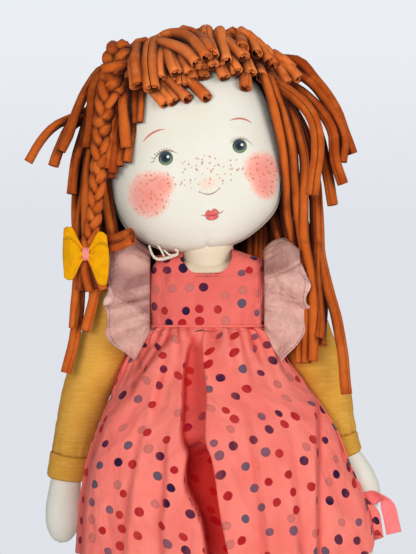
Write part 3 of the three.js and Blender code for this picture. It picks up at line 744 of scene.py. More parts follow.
paint_line((200.8, 214.8), (203.5, 215.6), (207, 214.6), 0.36, PENCIL, 0.8)
paint_line((217, 213.6), (220.5, 212.8), (223.6, 210.2), 0.36, PENCIL, 0.8)
LIP = (232, 104, 96)
for tint, grow in (((138, 72, 70), 0.34), (LIP, 0.0)):
    for start, peak, end in (
            ((204.6, 216.1), (208.9, 212.3), (213.4, 215.2)), ((210.4, 215.6), (215.2, 210.9), (219.8, 213.4))):
        paint_line(start, peak, end, 1.15 + grow, tint, 0.95)
    a, b = local_axes(fu, fv, face_spot(212.2, 216.7))
    dab(oval(a, b, 3.7 + grow, 1.9 + grow).step(0.84, 1.08), tint, 0.95)
paint_line((206.4, 215.6), (212, 215.6), (218.2, 213.4), 0.28, (150, 44, 56), 0.85)
dab(speck(fu, fv, face_spot(211.6, 217.8), 0.9, 0.8), (246, 150, 142), 0.5)
dab(speck(fu, fv, face_spot(214.8, 212.4), 0.6, 0.8), (246, 150, 142), 0.4)

# %% [markdown]
# At last comes the cloth's own relief: the seam along the jaw, where the face meets the back of the head, the weave,
# its slubs, and the soft dents of the stuffing.

# %% Seam and weave
weave = calico_face.threads(0.55, "Object", "X", 3) + calico_face.threads(0.6, "Object", "Z", 3)
jaw = abs(fdepth + 11.0 - calico_face.noise(20, detail=1) * 2)
# The jaw seam is also painted darker: painted shade in its groove, with a sunk bump.
calico_face.paint(jaw.step(0.35, 0.8), (150, 128, 100), 0.8)
calico_face.raise_by(jaw.step(0.3, 1.6), -1.0)
calico_face.raise_by(weave, 0.02)
for grain, height in ((1.3, 0.1), (9, 0.25)):
    calico_face.raise_by(calico_face.noise(grain, detail=3), height)
calico_face.done()
print("face paint nodes:", len(calico_face.tree.nodes))

# %% The stuffed head
head = finish_piece("head", head_bm, calico_face.material)
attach(head, "head")
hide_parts("head_face_panel", "head_back_panel", "head_stuffing")

# %% [markdown]
# ## Plain calico
# The hands and the legs are cream cloth without paint. The neck and the body get a darker, warmer copy of it: painted
# shade, for the shadow under the head. The body is hidden by the dress, but the dress is laid on it: `girth` tells
# where its surface is at any height and angle.

# %% Calico and the body under the dress
CALICO_RELIEF = ((1.3, 3, 0.1), (12, 3, 0.35))
calico = dyed("plain_calico", (240, 236, 222), (234, 227, 208), 0.7, 24, relief=CALICO_RELIEF, rough=0.92).done()
# A darker, warmer copy of the calico for the neck and the body: painted shade for the shadow under the head.
shaded_neck_calico = dyed("shaded_neck_calico", (228, 210, 184), (218, 196, 168), 0.7, 24, relief=CALICO_RELIEF, rough=0.92).done()
TORSO_BASE, TORSO_HEIGHT, SQUARE = 248.3, 115, 2.6
TORSO = [(TORSO_BASE + share * TORSO_HEIGHT, w, d) for share, w, d in (
    (0, 0, 0), (0.009, 33, 20), (0.1, 38.5, 24.5), (0.25, 39, 25), (0.45, 35, 23), (0.64, 33, 22),
    (0.78, 35.5, 22), (0.88, 35, 20.5), (0.94, 31, 17.5), (0.976, 24, 12), (1, 0, 0))]
body_bm = ball_on_profile(TORSO, SQUARE, 48, 40)
for vertex in body_bm.verts:
    vertex.co = at(*vertex.co)
bmesh.ops.recalc_face_normals(body_bm, faces=body_bm.faces)
body = finish_piece("body", body_bm, shaded_neck_calico)
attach(body, "torso")
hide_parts("torso_skin", "torso_stuffing")


def squared(angle, power):
    """Cosine and sine of an angle in degrees for a rounded square: a power under 1 fills its corners."""
    c, s = math.cos(math.radians(angle)), math.sin(math.radians(angle))
    return math.copysign(abs(c) ** power, c), math.copysign(abs(s) ** power, s)


def girth(z, angle, lift):
    """A place on the body at a height, `lift` millimetres off the cloth. -90 degrees is the front."""
    w, d = read(TORSO[1:-1], z)
    across, deep = squared(angle, 2 / SQUARE)
    return (w + lift) * across, (d + lift) * deep


print("girth at the waist:", [round(v, 1) for v in girth(322, 0, 0)])

# %% [markdown]
# The neck is a firm tube that bulges a little where the head presses on it. Rings of different sizes along a short
# line give it that, a few creases keep it soft, and a subdivision rounds it.

# %% The neck
neck_line = [at(0, 0, z) for z in (337, 342, 348, 354, 360, 366, 372, 378, 383)]
NECK = [(0, 8), (0.12, 13), (0.3, 15.2), (0.5, 15.4), (0.75, 16.4), (0.9, 14), (1, 8)]
neck_bm = draw_along(circle(1, 40), neck_line, Vector((0, 1, 0)), size=lambda t: read(NECK, t), closed=True, caps=True)
for vertex in neck_bm.verts:
    x, y, z = (vertex.co - MIDDLE) / MM
    crease = 0.35 * math.sin(z * 1.1 + 2 * ripple(x, y, z, 14))
    vertex.co += Vector((x, y, 0)).normalized() * crease * MM
neck = finish_piece("neck", neck_bm, shaded_neck_calico)
soft = neck.modifiers.new("smooth", "SUBSURF")
soft.levels = soft.render_levels = 1
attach(neck, "neck")
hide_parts("neck_skin", "neck_stuffing")

# %% [markdown]
# ## Hair of rolled jersey
# Each lock is a strip of rust jersey. A strip of jersey that is pulled lengthwise curls at both edges, so its section
# is a pair of scrolls that meet at a groove. That section is drawn along a line through a few places, most of them
# read off the picture, and the cut ends show their two scrolls without any extra work.

# %% The double scroll
def scroll(radius):
    """The section of a rolled strip, from the heart of one scroll over the back to the heart of the other."""
    half = []
    for i in range(8):
        angle = math.radians(-90 + i * 168 / 7)
        half.append((radius * (0.54 * (1 - math.sin(angle) ** 8) + 0.5) * math.cos(angle) if i else 0.0,
                     radius * 0.9 * math.sin(angle)))
    for i in range(1, 9):
        angle = math.radians(92 + i * 54)
        curl = radius * (0.44 - 0.038 * i)
        half.append((radius * 0.52 + curl * math.cos(angle), radius * 0.36 + curl * math.sin(angle)))
    return [(-x, y) for x, y in reversed(half[1:])] + half


def mark_outwards(part, line):
    """Keeps with each vertex which way is out from the line that its ring is round."""
    walked = distances(line)
    along = part.verts.layers.float["along"]
    out = part.verts.layers.float_vector.new("out")
    for vertex in part.verts:
        i = min(bisect_left(walked, vertex[along] - 1e-7), len(line) - 1)
        vertex[out] = (vertex.co - line[i]).normalized()


ROLL_WALL = 0.8
END_LIGHT = 5


def lock(points, radius=3.5, step=5.0, groove=None, turn=1.6):
    """One rolled strip through the points, root first. Its groove faces `groove`, give or take `turn` radians."""
    spin = chance.uniform(-turn, turn)
    up = groove or Vector((0, -1, 0))
    side = up.cross(points[-1] - points[0]).normalized()
    up = (up * math.cos(spin) + side * math.sin(spin)).normalized()
    phase = chance.uniform(0, 100)
    line = smooth_line(points, step)
    for i, point in enumerate(line[1:], 1):
        s = i * step
        point.x += 0.5 * MM * noise.noise(Vector((s / 16, phase, 0)))
        point.y += 0.5 * MM * noise.noise(Vector((s / 16, phase, 9)))
    section = scroll(radius - ROLL_WALL / 2)
    part = draw_along(section, line, up,
                      size=lambda t: 1 + 0.07 * noise.noise(Vector((t * len(line) / 3, phase, 5))))
    mark_outwards(part, line)
    tone, shade = (part.verts.layers.float.new(layer) for layer in ("tone", "shade"))
    around, along = (part.verts.layers.float[layer] for layer in ("around", "along"))
    shift = chance.uniform(0, 1)
    total = max(vertex[along] for vertex in part.verts) / MM
    for vertex in part.verts:
        vertex[tone] = shift
        # The hearts of the curls get painted shade, which fades towards the cut end, where light gets in.
        inside = abs(vertex[around] * len(section) - len(section) // 2) > 8.5
        vertex[shade] = 1 - 0.8 * smoothstep(vertex[along] / MM, total - END_LIGHT, total) if inside else 0.0
    return part


print("a section has", len(scroll(3)), "points")


# %% [markdown]
# The jersey is dyed unevenly, and each strip has its own tone. That tone is an attribute of the mesh, and so is the
# painted shade between the rolls. The rolls on top get more light, so they get a paler copy of the jersey: painted
# light.

# %% Rust jersey
def jersey_finish(name, base, dark, light):
    cloth = Finish(name, rough=0.88)
    cloth.start(base)
    cloth.paint(cloth.attribute("tone"), dark, 0.8)
    cloth.paint(cloth.noise(9, detail=3).step(0.3, 0.62), light, 0.45)
    # Painted shade from the `shade` attribute: the gaps between the rolls and the hearts of the curls.
    cloth.paint(cloth.attribute("shade"), (56, 12, 0), 0.94)
    cloth.raise_by(cloth.noise(0.9, detail=2), 0.16)
    cloth.raise_by(cloth.noise(7, detail=2), 0.35)
    return cloth.done()


jersey = jersey_finish("rust_jersey", (208, 98, 32), (146, 52, 6), (222, 116, 46))
# A paler copy for the fringe on top: painted light, where more light falls on it.
lit_top_jersey = jersey_finish("rust_jersey_painted_light", (244, 132, 62), (190, 82, 22), (250, 146, 78))

# %% [markdown]
# Between the rolls it gets dark quickly, and that makes them stand out one by one, so it is painted in as shade. From
# each vertex some rays are sent out. The more of them meet another roll, the head or an earlier bundle nearby, the
# darker the painted shade.

# %% Dark gaps
RAY_COUNT = 22
SPIRAL = 2.4
RAYS = []
for k in range(RAY_COUNT):
    high = 1 - 2 * (k + 0.5) / RAY_COUNT
    wide = math.sqrt(1 - high * high)
    RAYS.append(Vector((wide * math.cos(SPIRAL * k), wide * math.sin(SPIRAL * k), high)))
SHADERS = [head_tree]


def darken_gaps(bm, gloom, near=11.0, far=24.0):
    """Writes in `shade`, as painted shade, how far the rolls around it, the head and the earlier bundles shut each
    place off from the light.
    """
    tree = BVHTree.FromBMesh(bm)
    out, shade = bm.verts.layers.float_vector["out"], bm.verts.layers.float["shade"]
    for vertex in bm.verts:
        if vertex[shade] > 0:
            continue
        away = vertex[out]
        open_rays = [ray for ray in RAYS if ray.dot(away) > 0.15]
        start = vertex.co + away * 0.7 * MM
        met = 0
        for ray in open_rays:
            if tree.ray_cast(start, ray, near * MM)[0] is not None:
                met += 1
            elif any(other.ray_cast(start, ray, far * MM)[0] is not None for other in SHADERS):
                met += 0.8
        vertex[shade] = min(max(gloom * met / len(open_rays) - 0.22, 0.0), 1.0)
    bm.verts.layers.float_vector.remove(out)
    SHADERS.append(tree)


GLOOM = 3.2
print(len(RAYS), "rays from each vertex")


# %% [markdown]
# Short rolls go with the head as they are. Long ones would swing into the shoulders with it, where real hair gives
# way, so they are cut level with the neck. The cut doesn't show, because both sides of it move alike.

# %% Bundles of rolls
def bundle(name, locks, body_name, nodes, gloom=GLOOM, cloth=jersey):
    whole = gather(locks)
    darken_gaps(whole, gloom)
    piece = thicken(finish_piece(name, whole, cloth), ROLL_WALL)
    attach(piece, body_name)
    if nodes:
        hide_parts(*nodes)
    print(name, "has", len(locks), "rolls and", len(piece.data.polygons), "faces")


HAIR_TOP, CUT, HAIR_END = 445, 373, 330


def hanging_bundle(name, locks, node):
    """Long rolls, cut level with the neck. The upper part stops tilting with the head there, the ends stop turning."""
    upper = gather(locks)
    darken_gaps(upper, GLOOM)
    ends = upper.copy()
    halves = ((name, upper, -1, ("head", "neck_core"), (HAIR_TOP, CUT + 3)),
              (name + "_ends", ends, 1, ("neck_core", "neck"), (CUT - 3, HAIR_END)))
    for part_name, part, side, bodies, (high, low) in halves:
        cut(part, at(0, 0, CUT), (0, 0, side))
        piece = thicken(finish_piece(part_name, part, jersey), ROLL_WALL)
        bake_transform(piece, *bodies, start=at(0, 0, high), end=at(0, 0, low))
        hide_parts(node)
        print(part_name, "has", len(piece.data.polygons), "faces")


# %% [markdown]
# ## The fringe
# The short rolls over the forehead are sewn on in one line and stand off it in all directions. Each row below is one
# roll: pixels of the picture with how far it lies off the head there. Shorter rolls fill the row beneath.

# %% The fringe
FRINGE = [
    [(145, 44, 8), (137, 47, 12), (134, 60, 14), (135.5, 74, 14), (137, 86, 13)],
    [(156, 42, 8), (151, 47, 12), (149, 62, 13), (150, 77, 13), (152, 89, 12)],
    [(128, 54, 5), (126, 62, 6), (127, 70, 6)], [(157, 44, 9), (172, 45, 13), (187, 52, 14), (198, 63, 14)],
    [(160, 40, 8), (174, 34, 12), (188, 37, 14), (200, 48, 16), (207, 58, 17)],
    [(182, 31, 7), (197, 36, 12), (206, 44, 15), (211, 53, 16)], [(206, 30, 7), (208, 40, 12), (212, 55, 16)],
    [(166, 47, 7), (161, 60, 9), (161, 79, 9)], [(168, 50, 8), (172, 62, 11), (177, 73, 12)],
    [(171, 58, 4), (173, 70, 5), (175, 83, 5)], [(180, 60, 4), (181, 74, 5), (182, 86, 5)],
    [(178, 52, 7), (184, 62, 9), (190, 73, 9)], [(186, 54, 5), (190, 66, 7), (192, 80, 6)],
    [(190, 48, 8), (197, 58, 10), (202, 69, 10)], [(196, 56, 5), (200, 66, 6), (204, 77, 6)],
    [(200, 44, 8), (208, 56, 10), (214, 67, 11)], [(219, 32, 7), (222, 46, 12), (226, 62, 13)],
    [(214, 54, 6), (220, 66, 7), (225, 78, 6)], [(222, 46, 7), (230, 60, 9), (237, 72, 10)],
    [(220, 38, 9), (232, 46, 14), (244, 57, 15)], [(230, 32, 8), (239, 37, 14), (243, 48, 18)],
    [(241, 32, 8), (251, 41, 12), (257, 54, 15)], [(244, 64, 4), (245, 76, 4.5), (245.5, 88, 5)],
    [(248, 38, 8), (260, 49, 12), (269, 63, 14)], [(240, 52, 6), (246, 63, 8), (251, 73, 9)],
    [(252, 54, 6), (258, 66, 8), (262, 77, 9)], [(258, 46, 8), (268, 56, 11), (274, 68, 13)],
    [(262, 60, 7), (267, 71, 9), (271, 82, 9)], [(265, 52, 8), (277, 66, 11), (288, 85, 12)],
    [(268, 66, 5), (273, 76, 6), (277, 84, 6)], [(274, 55, 9), (287, 66, 12), (299, 80, 14)],
    [(150, 46, 4), (152, 58, 6), (156, 74, 6)], [(158, 48, 4), (156, 60, 5), (158, 76, 5)],
    [(132, 52, 2), (135, 64, 4), (139, 80, 5)], [(140, 48, 4), (142, 60, 5), (144, 76, 6)],
    [(146, 82, 4), (157, 93, 4), (166, 104, 4.4)], [(154, 80, 4), (165, 92, 4), (174, 102, 4.4)],
    [(166, 78, 4), (178, 90, 4), (188, 99, 4.6)], [(186, 78, 4), (197, 88, 4), (207, 98, 4.8)],
]
GROOVE = Vector((0, 1, 0.3))


def fringe_lock(spots, radius=4.1):
    points = [settle(*spot) for spot in spots]
    points[-1].y = min(points[-1].y, points[-2].y - 4.5 * MM)
    root = points[0] + Vector((0, 0.010, -0.005))
    return lock([root, *points], radius, 4.0, groove=GROOVE, turn=0.7)


def under_lock(spots):
    """A shorter roll that fills the row beneath."""
    shove = chance.choice((-6, 6))
    points = [settle(px + shove, py + 2, max(lift - 5, 3.6)) for px, py, lift in spots[:-1]]
    return lock([points[0] + Vector((0, 0.010, -0.003)), *points], 3.5, 4.0, groove=GROOVE, turn=0.7)


fringe_rolls = [fringe_lock(spots, 4.8) for spots in FRINGE[:2]] + [fringe_lock(spots) for spots in FRINGE[2:]]
fringe_rolls += [under_lock(spots) for spots in FRINGE[:-4] if len(spots) > 2 and spots[0][1] < 56]
# The fringe gets less painted shade, and the paler, painted-light copy of the jersey.
bundle("fringe", fringe_rolls, "head", ["hair_fringe"], gloom=1.9, cloth=lit_top_jersey)

# %% [markdown]
# ## The sides
# The side rolls start under the fringe and hang free. Some of the outer ones spring away from the head. Each row holds
# pixels with a depth, and then the roll's radius.

# %% The locks at the sides
LEFT = [
    ([(130, 62, -20), (122, 65, -33), (112, 67, -38), (102, 69, -38)], 3.4),
    ([(112, 66, -2), (100, 71, -8), (88, 88, -12), (76, 113, -14), (69, 135, -13), (61, 151, -14)], 3.4),
    ([(112, 74, -8), (99, 79, -14), (93, 94, -17), (92, 118, -18), (88, 148, -20)], 3.6),
    ([(100, 106, 8), (72, 118, 2), (55, 126, -2), (41, 141, -3), (28, 162, -4)], 3.2),
    ([(98, 114, 4), (73, 124, -2), (62, 142, -6), (53, 166, -8)], 3.7),
    ([(134, 74, -16), (128, 82, -26), (118, 95, -36)], 3.4),
    ([(130, 84, -26), (124, 100, -33), (125, 125, -38), (127, 148, -40)], 3.9),
    ([(136, 84, -30), (135, 104, -36), (135, 123, -39)], 2.4),
    ([(142, 84, -32), (141, 104, -37), (139, 122, -40)], 2.4),
    ([(120, 92, -26), (117, 118, -31), (113, 143, -34), (109, 169, -36)], 3.2),
    ([(123, 104, -28), (119, 130, -33), (116, 152, -36), (113, 173, -37)], 3.2),
    ([(114, 120, -22), (112, 150, -28), (110, 178, -30)], 3.2),
    ([(126, 118, -30), (122, 144, -35), (119, 166, -37)], 3.2),
    ([(132, 116, -31), (130, 140, -36), (127, 162, -39)], 3.0),
    ([(104, 80, 4), (92, 104, 0), (84, 130, -4), (76, 160, -9), (72, 194, -11)], 3.2),
    ([(106, 90, 14), (88, 125, 10), (79, 165, 4), (77, 205, -4), (78, 245, -10), (80, 300, -17), (74, 340, -20),
      (66, 373, -22)], 3.3),
    ([(108, 96, 4), (94, 130, -2), (87, 170, -8), (86, 210, -14), (88, 250, -18), (94, 290, -22), (90, 312, -24),
      (85, 331, -26)], 3.3),
    ([(110, 90, 10), (96, 130, 4), (86, 175, -2), (81, 215, -8), (78, 260, -14), (76, 300, -18), (73, 328, -20)], 3.3),
    ([(112, 110, 2), (100, 160, -4), (96, 210, -10), (96, 250, -14), (98, 285, -18), (94, 293, -22)], 3.3),
    ([(98, 240, -26), (116, 239, -34), (132, 233, -42)], 3.3),
    ([(100, 248, -26), (118, 246, -34), (133, 239, -41)], 3.3),
    ([(116, 130, 2), (113, 170, 2), (113, 210, 2), (113, 245, 4), (110, 275, 4)], 3.4),
    ([(112, 140, 8), (107, 180, 6), (106, 220, 4), (106, 255, 0), (104, 280, -4)], 3.4),
]
RIGHT = [
    ([(268, 60, 5), (284, 60, -1), (300, 63, -6), (316, 81, -11), (335, 108, -13), (352, 154, -13)], 3.6),
    ([(278, 70, 2), (298, 74, -5), (313, 84, -10), (327, 102, -13), (344, 136, -15), (342, 162, -16)], 3.6),
    ([(276, 82, -2), (300, 91, -10), (321, 111, -15), (333, 133, -17), (335, 160, -18), (343, 184, -19)], 3.4),
    ([(282, 90, 2), (302, 103, -4), (314, 124, -8), (323, 151, -11), (329, 183, -13), (333, 205, -15)], 3.4),
    ([(276, 84, -18), (294, 96, -24), (308, 110, -28), (316, 127, -30), (317.5, 151, -31), (312, 195, -32)], 3.9),
    ([(262, 74, -20), (269, 92, -24), (276, 118, -25), (283, 151, -21), (286, 183, -14), (288, 214, -8),
      (296, 256, -5), (302, 304, -12), (299, 363, -19)], 3.3),
    ([(268, 76, -18), (276, 92, -22), (286, 121, -23), (293, 155, -19), (296, 190, -14), (299, 222, -11),
      (305, 258, -11), (308, 302, -16), (306, 363, -21)], 3.3),
    ([(272, 80, -16), (282, 98, -19), (293, 116, -20), (303, 151, -17), (304, 196, -14), (304, 232, -13),
      (310, 270, -15), (314, 310, -20), (313, 361, -24)], 3.3),
    ([(279, 92, -9), (298, 124, -6), (309, 160, -4), (314, 200, -6), (316, 240, -9), (317, 280, -14),
      (320, 315, -20), (318, 338, -24)], 3.3),
    ([(283, 96, 0), (304, 130, 4), (314, 170, 3), (318, 210, -1), (320, 252, -8), (328, 287, -16),
      (340, 335, -21), (347, 394, -25)], 3.5),
    ([(278, 100, 12), (298, 140, 14), (310, 180, 10), (317, 220, 4), (320, 260, -4), (323, 300, -12),
      (321, 345, -19)], 3.4),
    ([(274, 150, 6), (281, 190, 6), (288, 225, 4), (296, 265, 2), (300, 310, -6)], 3.4),
    ([(268, 190, 8), (274, 220, 8), (282, 245, 8), (290, 280, 6)], 3.4),
    ([(262, 200, 14), (262, 230, 13), (264, 262, 11), (270, 292, 8)], 3.4),
    ([(252, 214, 18), (251, 240, 17), (252, 270, 15)], 3.4), ([(257, 206, 16), (258, 236, 15), (258, 280, 12)], 3.4),
    ([(272, 110, 16), (288, 160, 16), (300, 205, 12), (308, 250, 6), (311, 300, -5), (308, 345, -14)], 3.4),
]
for name, side_rolls in (("left", LEFT), ("right", RIGHT)):
    hanging_bundle(f"locks_{name}", [lock([seen(*p) for p in points], radius) for points, radius in side_rolls],
                   f"hair_side_{name}")

# %% [markdown]
# The back of the head isn't in the picture. There the rolls are sewn round the crown in two rows and fall straight
# to the shoulders, the upper row over the gaps of the lower one. Shorter ones close the sides, behind those that the
# picture shows.

# %% The back of the hair
def round_head(height, angle, lift):
    """A place off the head at a share of its height, at an angle seen from above; 90 degrees is the back."""
    up = HEAD_LIFT + height * HEAD_HEIGHT
    w, d = read(HEAD_PROFILE, up)
    across, deep = squared(angle, 0.89)
    return Vector(((w + lift) * across, (d + lift) * deep, up))


def back_lock(angle, lift, crown, length):
    points = [on_head(round_head(crown, angle, 1) + Vector((0, -6, lift * 0.6)))]
    for height, extra in ((0.42, 1.5), (0.28, 1.0), (0.02, 0.5), (-0.22, 0.5)):
        points.append(on_head(round_head(height, angle, lift + extra)))
    c, s = math.cos(math.radians(angle)), math.sin(math.radians(angle))
    sway = chance.uniform(-2, 2)
    points.append(at(-4 + 53 * c + sway, 30 * s + 4, 372))
    points.append(at(-2 + 56 * c + sway, 26 * s + 8, 345))
    points.append(at(57 * c + 1.5 * sway, 25 * s + 9, length))
    return lock(points, 3.5, 6.0)


def side_lock(angle, lift, end, heights=(0.40, 0.26, 0.05, -0.12)):
    """A shorter roll that lies on the side of the head, behind the ones seen from the front."""
    points = [on_head(round_head(0.45, angle, 1))]
    for height in heights:
        points.append(on_head(round_head(height, angle, lift)))
    low = round_head(heights[-1], angle, lift)
    points.append(on_head(Vector((low.x, low.y, HEAD_LIFT + end * HEAD_HEIGHT))))
    return lock(points, 3.6, 6.0)


back = [back_lock(14 + 152 * i / 23, 4.2, 0.46, 312 + chance.uniform(-9, 9)) for i in range(24)]
back += [back_lock(17 + 146 * i / 20, 10, 0.485, 318 + chance.uniform(-9, 9)) for i in range(21)]
back += [side_lock(4 + 5 * i, 4.4, -0.34 + chance.uniform(-0.03, 0.03)) for i in range(2)]
back += [side_lock(170 + 6 * i, 4.4, -0.34 + chance.uniform(-0.03, 0.03)) for i in range(6)]
back += [side_lock(205 + 5 * i, 3.8, 0.03 + 0.03 * i, (0.40, 0.28, 0.16)) for i in range(3)]
hanging_bundle("locks_back", back, "hair_back")

# %% [markdown]
# ## The braid
# Three strips are plaited. Seen from the front each of them swings from side to side while it passes over and under
# the others, which is a sine across and a sine of twice the rate in depth.

# %% Braid
def plait(line, strands, swing, depth, pitch, radius):
    parts = []
    for k in range(strands):
        phase = 2 * math.pi * k / strands
        points = []
        for i, (p, way) in enumerate(zip(line, distances(line))):
            t = 2 * math.pi * way / MM / pitch + phase
            fade = 1 - 0.28 * i / len(line)
            points.append(p + Vector((swing * math.sin(t), depth * math.sin(2 * t), 0)) * MM * fade)
        part = draw_along(circle(radius, 14, 0.56), points, Vector((0, 1, 0)), closed=True, caps=True,
                          size=lambda t: 1.0 - 0.25 * t)
        mark_outwards(part, points)
        tone = part.verts.layers.float.new("tone")
        part.verts.layers.float.new("shade")
        for vertex in part.verts:
            vertex[tone] = 0.3 * k
        parts.append(part)
    return parts


braid_line = smooth_line([seen(*p) for p in (
    (121, 46, -22), (115, 60, -30), (110, 85, -34), (105, 113, -33), (102, 137, -33), (100, 160, -34),
    (98, 180, -35), (95, 205, -36), (91, 232, -37), (87, 252, -37))], 1.6)
bundle("braid_strands", plait(braid_line, 3, 3.5, 2.3, 28, 4.7), "braid", ["braid"])
tail_spots = [
    [(87, 252, -37), (94, 268, -36), (103, 290, -37)], [(87, 252, -35), (90, 270, -34), (97, 289, -34)],
    [(86, 252, -36), (86, 272, -36), (91, 291, -36)], [(86, 252, -34), (82, 270, -33), (80, 290, -32)]]
bundle("braid_tail", [lock([seen(*p) for p in spots], 3.1, 4.0) for spots in tail_spots], "braid", [])

# %% [markdown]
# ## The bow
# The bow at the braid's foot is a folded strip of mustard-yellow wool cloth, pinched in the middle by pink thread.
# Each half is a flat grid that is narrowed and puckered towards the middle.

# %% Bow
def stitches(run, pitch):
    """1 on the stitches of a row, 0 between them, one every `pitch` millimetres of the way along it."""
    return abs((run / pitch).do("FRACT") - 0.5).step(0.3, 0.36)


wool = dyed("yellow_wool", (240, 168, 0), (226, 150, 0), 0.6, 5, (0.35, 0.6), relief=((1.0, 2, 0.3), (4, 2, 0.5)),
            rough=0.95)
across, along, _ = wool.parts("UV")
edge = abs(abs(along - 15) - 12.6).step(0.12, 0.42) * stitches(across, 1 / 0.55)
wool.paint(edge, (190, 130, 0), 0.8)
wool.raise_by(edge, -0.3)
KNOT = seen(86, 254, -42)


def bow_place(u, v):
    side = 2 * u - 1
    far = abs(side)
    high = 2.4 + 13.4 * smoothstep(far, 0.04, 0.72) - 1.2 * smoothstep(far, 0.86, 1.0)
    lean = -3.5 * far if side > 0 else 0.5 * far
    across = side * (13.5 - 1.6 * (2 * v - 1) ** 2 * (1 if side > 0 else 0.4))
    pucker = 1.5 * math.cos(3.2 * math.pi * (v - 0.5)) * (1 - far) ** 0.7
    curl = 2.2 * math.sin(math.pi * far) + 0.8 * math.sin(5 * v + 3 * side)
    return KNOT + Vector((across, -1.0 - pucker - curl + 1.5 * far, (2 * v - 1) * high + lean)) * MM


bow_front = thicken(drape("bow", 40, 24, bow_place, wool.done(), shift=(15, 30)), 1.2)
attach(bow_front, "braid")
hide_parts("braid_bow")


# %% [markdown]
# Four turns of pink thread hold the pinch. Each is a small loop round the knot, and the four lie side by side.

# %% Thread round the bow
def thread_finish(name, colour, shadow):
    return dyed(name, colour, shadow, 0.6, 1.2, (0.35, 0.6), 2, ((0.6, 2, 0.15),), rough=0.7).done()


pink_thread = thread_finish("pink_thread", (250, 158, 142), (232, 126, 116))
turns = []
for k in range(4):
    centre = KNOT + Vector((0.9 * (k - 1.5), -0.3, 0)) * MM
    loop = [centre + Vector((0, 3.6 * math.cos(a), 3.5 * math.sin(a))) * MM
            for a in [2 * math.pi * i / 20 for i in range(21)]]
    turns.append(draw_along(circle(0.62, 8), loop, Vector((1, 0, 0)), closed=True))
knot = finish_piece("bow_knot", gather(turns), pink_thread)
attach(knot, "braid")
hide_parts("braid_bow_thread")

# %% [markdown]
# ## The dotted dress
# The dress is printed cotton: a coral ground with loose round dots in dark red, navy, grey-blue and dusty pink. The
# dots are cells of a Voronoi pattern on the flat cloth, so that they go round the folds with it.

# %% Dotted cotton
INKS = ((0.0, srgb(176, 20, 30)), (0.3, srgb(16, 12, 56)), (0.57, srgb(88, 82, 100)), (0.78, srgb(204, 114, 106)))


def dotted_finish(name, ground=(248, 132, 118), patches=(244, 116, 104), spacing=12.6):
    cloth = dyed(name, ground, patches, 0.7, 26, relief=((5, 2, 0.3),), rough=0.85)
    near, ink_draw, size_draw = cloth.cells(spacing, 0.7)
    ramp = node(cloth.tree, "ValToRGB", ink_draw.socket)
    ramp.color_ramp.interpolation = "CONSTANT"
    for i, (start, ink) in enumerate(INKS):
        stop = ramp.color_ramp.elements[i] if i < 2 else ramp.color_ramp.elements.new(start)
        stop.position = start
        stop.color = ink
    wobble = (cloth.noise(6, "UV", detail=1) - 0.5) * 1.3
    edge = near + wobble - (size_draw * 0.7 - 0.2)
    cloth.paint(edge.step(2.3, 2.6), ramp.outputs[0], 0.98)
    rim = abs(edge - 2.25).step(0.1, 0.4)
    cloth.paint(rim, (120, 24, 40), 0.22)
    for size, depth in ((48, 0.7), (27, 0.4)):
        crease = abs(cloth.noise(size, "UV", detail=1, scale=(1.5, 0.7, 1)) - 0.5)
        # The creases are also painted darker: painted shade along them.
        cloth.paint(crease.step(0.0, 0.09), (224, 96, 86), 0.14)
        cloth.raise_by(crease.step(0.0, 0.12), -depth)
    # Painted shade from the mesh's `shade` attribute: the deep folds and the gather hollows of the skirt.
    cloth.paint(cloth.attribute("shade"), (196, 10, 12), 0.86)
    cloth.raise_by(cloth.threads(0.5, "UV", "X", 1) + cloth.threads(0.5, "UV", "Y", 1), 0.02)
    cloth.raise_by(cloth.noise(22, "UV", detail=5, scale=(1.2, 0.8, 1)), 4.2)
    return cloth


skirt_cotton = dotted_finish("dotted_cotton").done()


def stitched_dots(name, rows, pitch=1.9):
    """Dotted cotton with rows of topstitch on its chart: the axis, the place on it, and where the row runs."""
    cloth = dotted_finish(name, (238, 116, 105), (232, 102, 94), 10.8)
    across, along, _ = cloth.parts("UV")
    for axis, spot, low, high in rows:
        over, run = (across, along) if axis == "x" else (along, across)
        line = abs(over - spot)
        inside = abs(run - (low + high) / 2).step((high - low) / 2, (high - low) / 2 + 0.1)
        cloth.paint(line.step(0.14, 0.34) * stitches(run, pitch) * inside, (188, 58, 60), 0.85)
        cloth.raise_by(line.step(0.1, 0.9) * inside, -0.3)
    return cloth.done()


# %% [markdown]
# ## The bodice
# The bib is a rectangle of cotton that wraps the chest a little loosely. It is cut in one with its two straps, so a
# single grid runs from the waist over the shoulders, and the neck opening is cut out of it, as a tailor would do it.

# %% The bib
WAIST, BODICE_TOP = 322.0, 355.5
SEAM_REACH = 0.6


def bodice_height(v):
    return WAIST - SEAM_REACH + (BODICE_TOP - WAIST + SEAM_REACH) * v


def bib_place(u, v):
    z = bodice_height(v)
    angle = -176 + 172 * u
    slack = 1.3 * ripple(u * 60, 5, z, 12) * (0.4 + v)
    pull = 0.9 * math.sin(3.5 * abs(2 * u - 1) + 4 * v) * v
    x, y = girth(z, angle, 2.1 + slack + pull)
    dip = 1.4 * (1 - (2 * u - 1) ** 2) * v**3
    return at(x, y, z - dip)


# %% Straps in one with the bib
STRAP_SHARE = 0.56
NECK_HALF, STRAP_OUTER = 6.4, 34.0


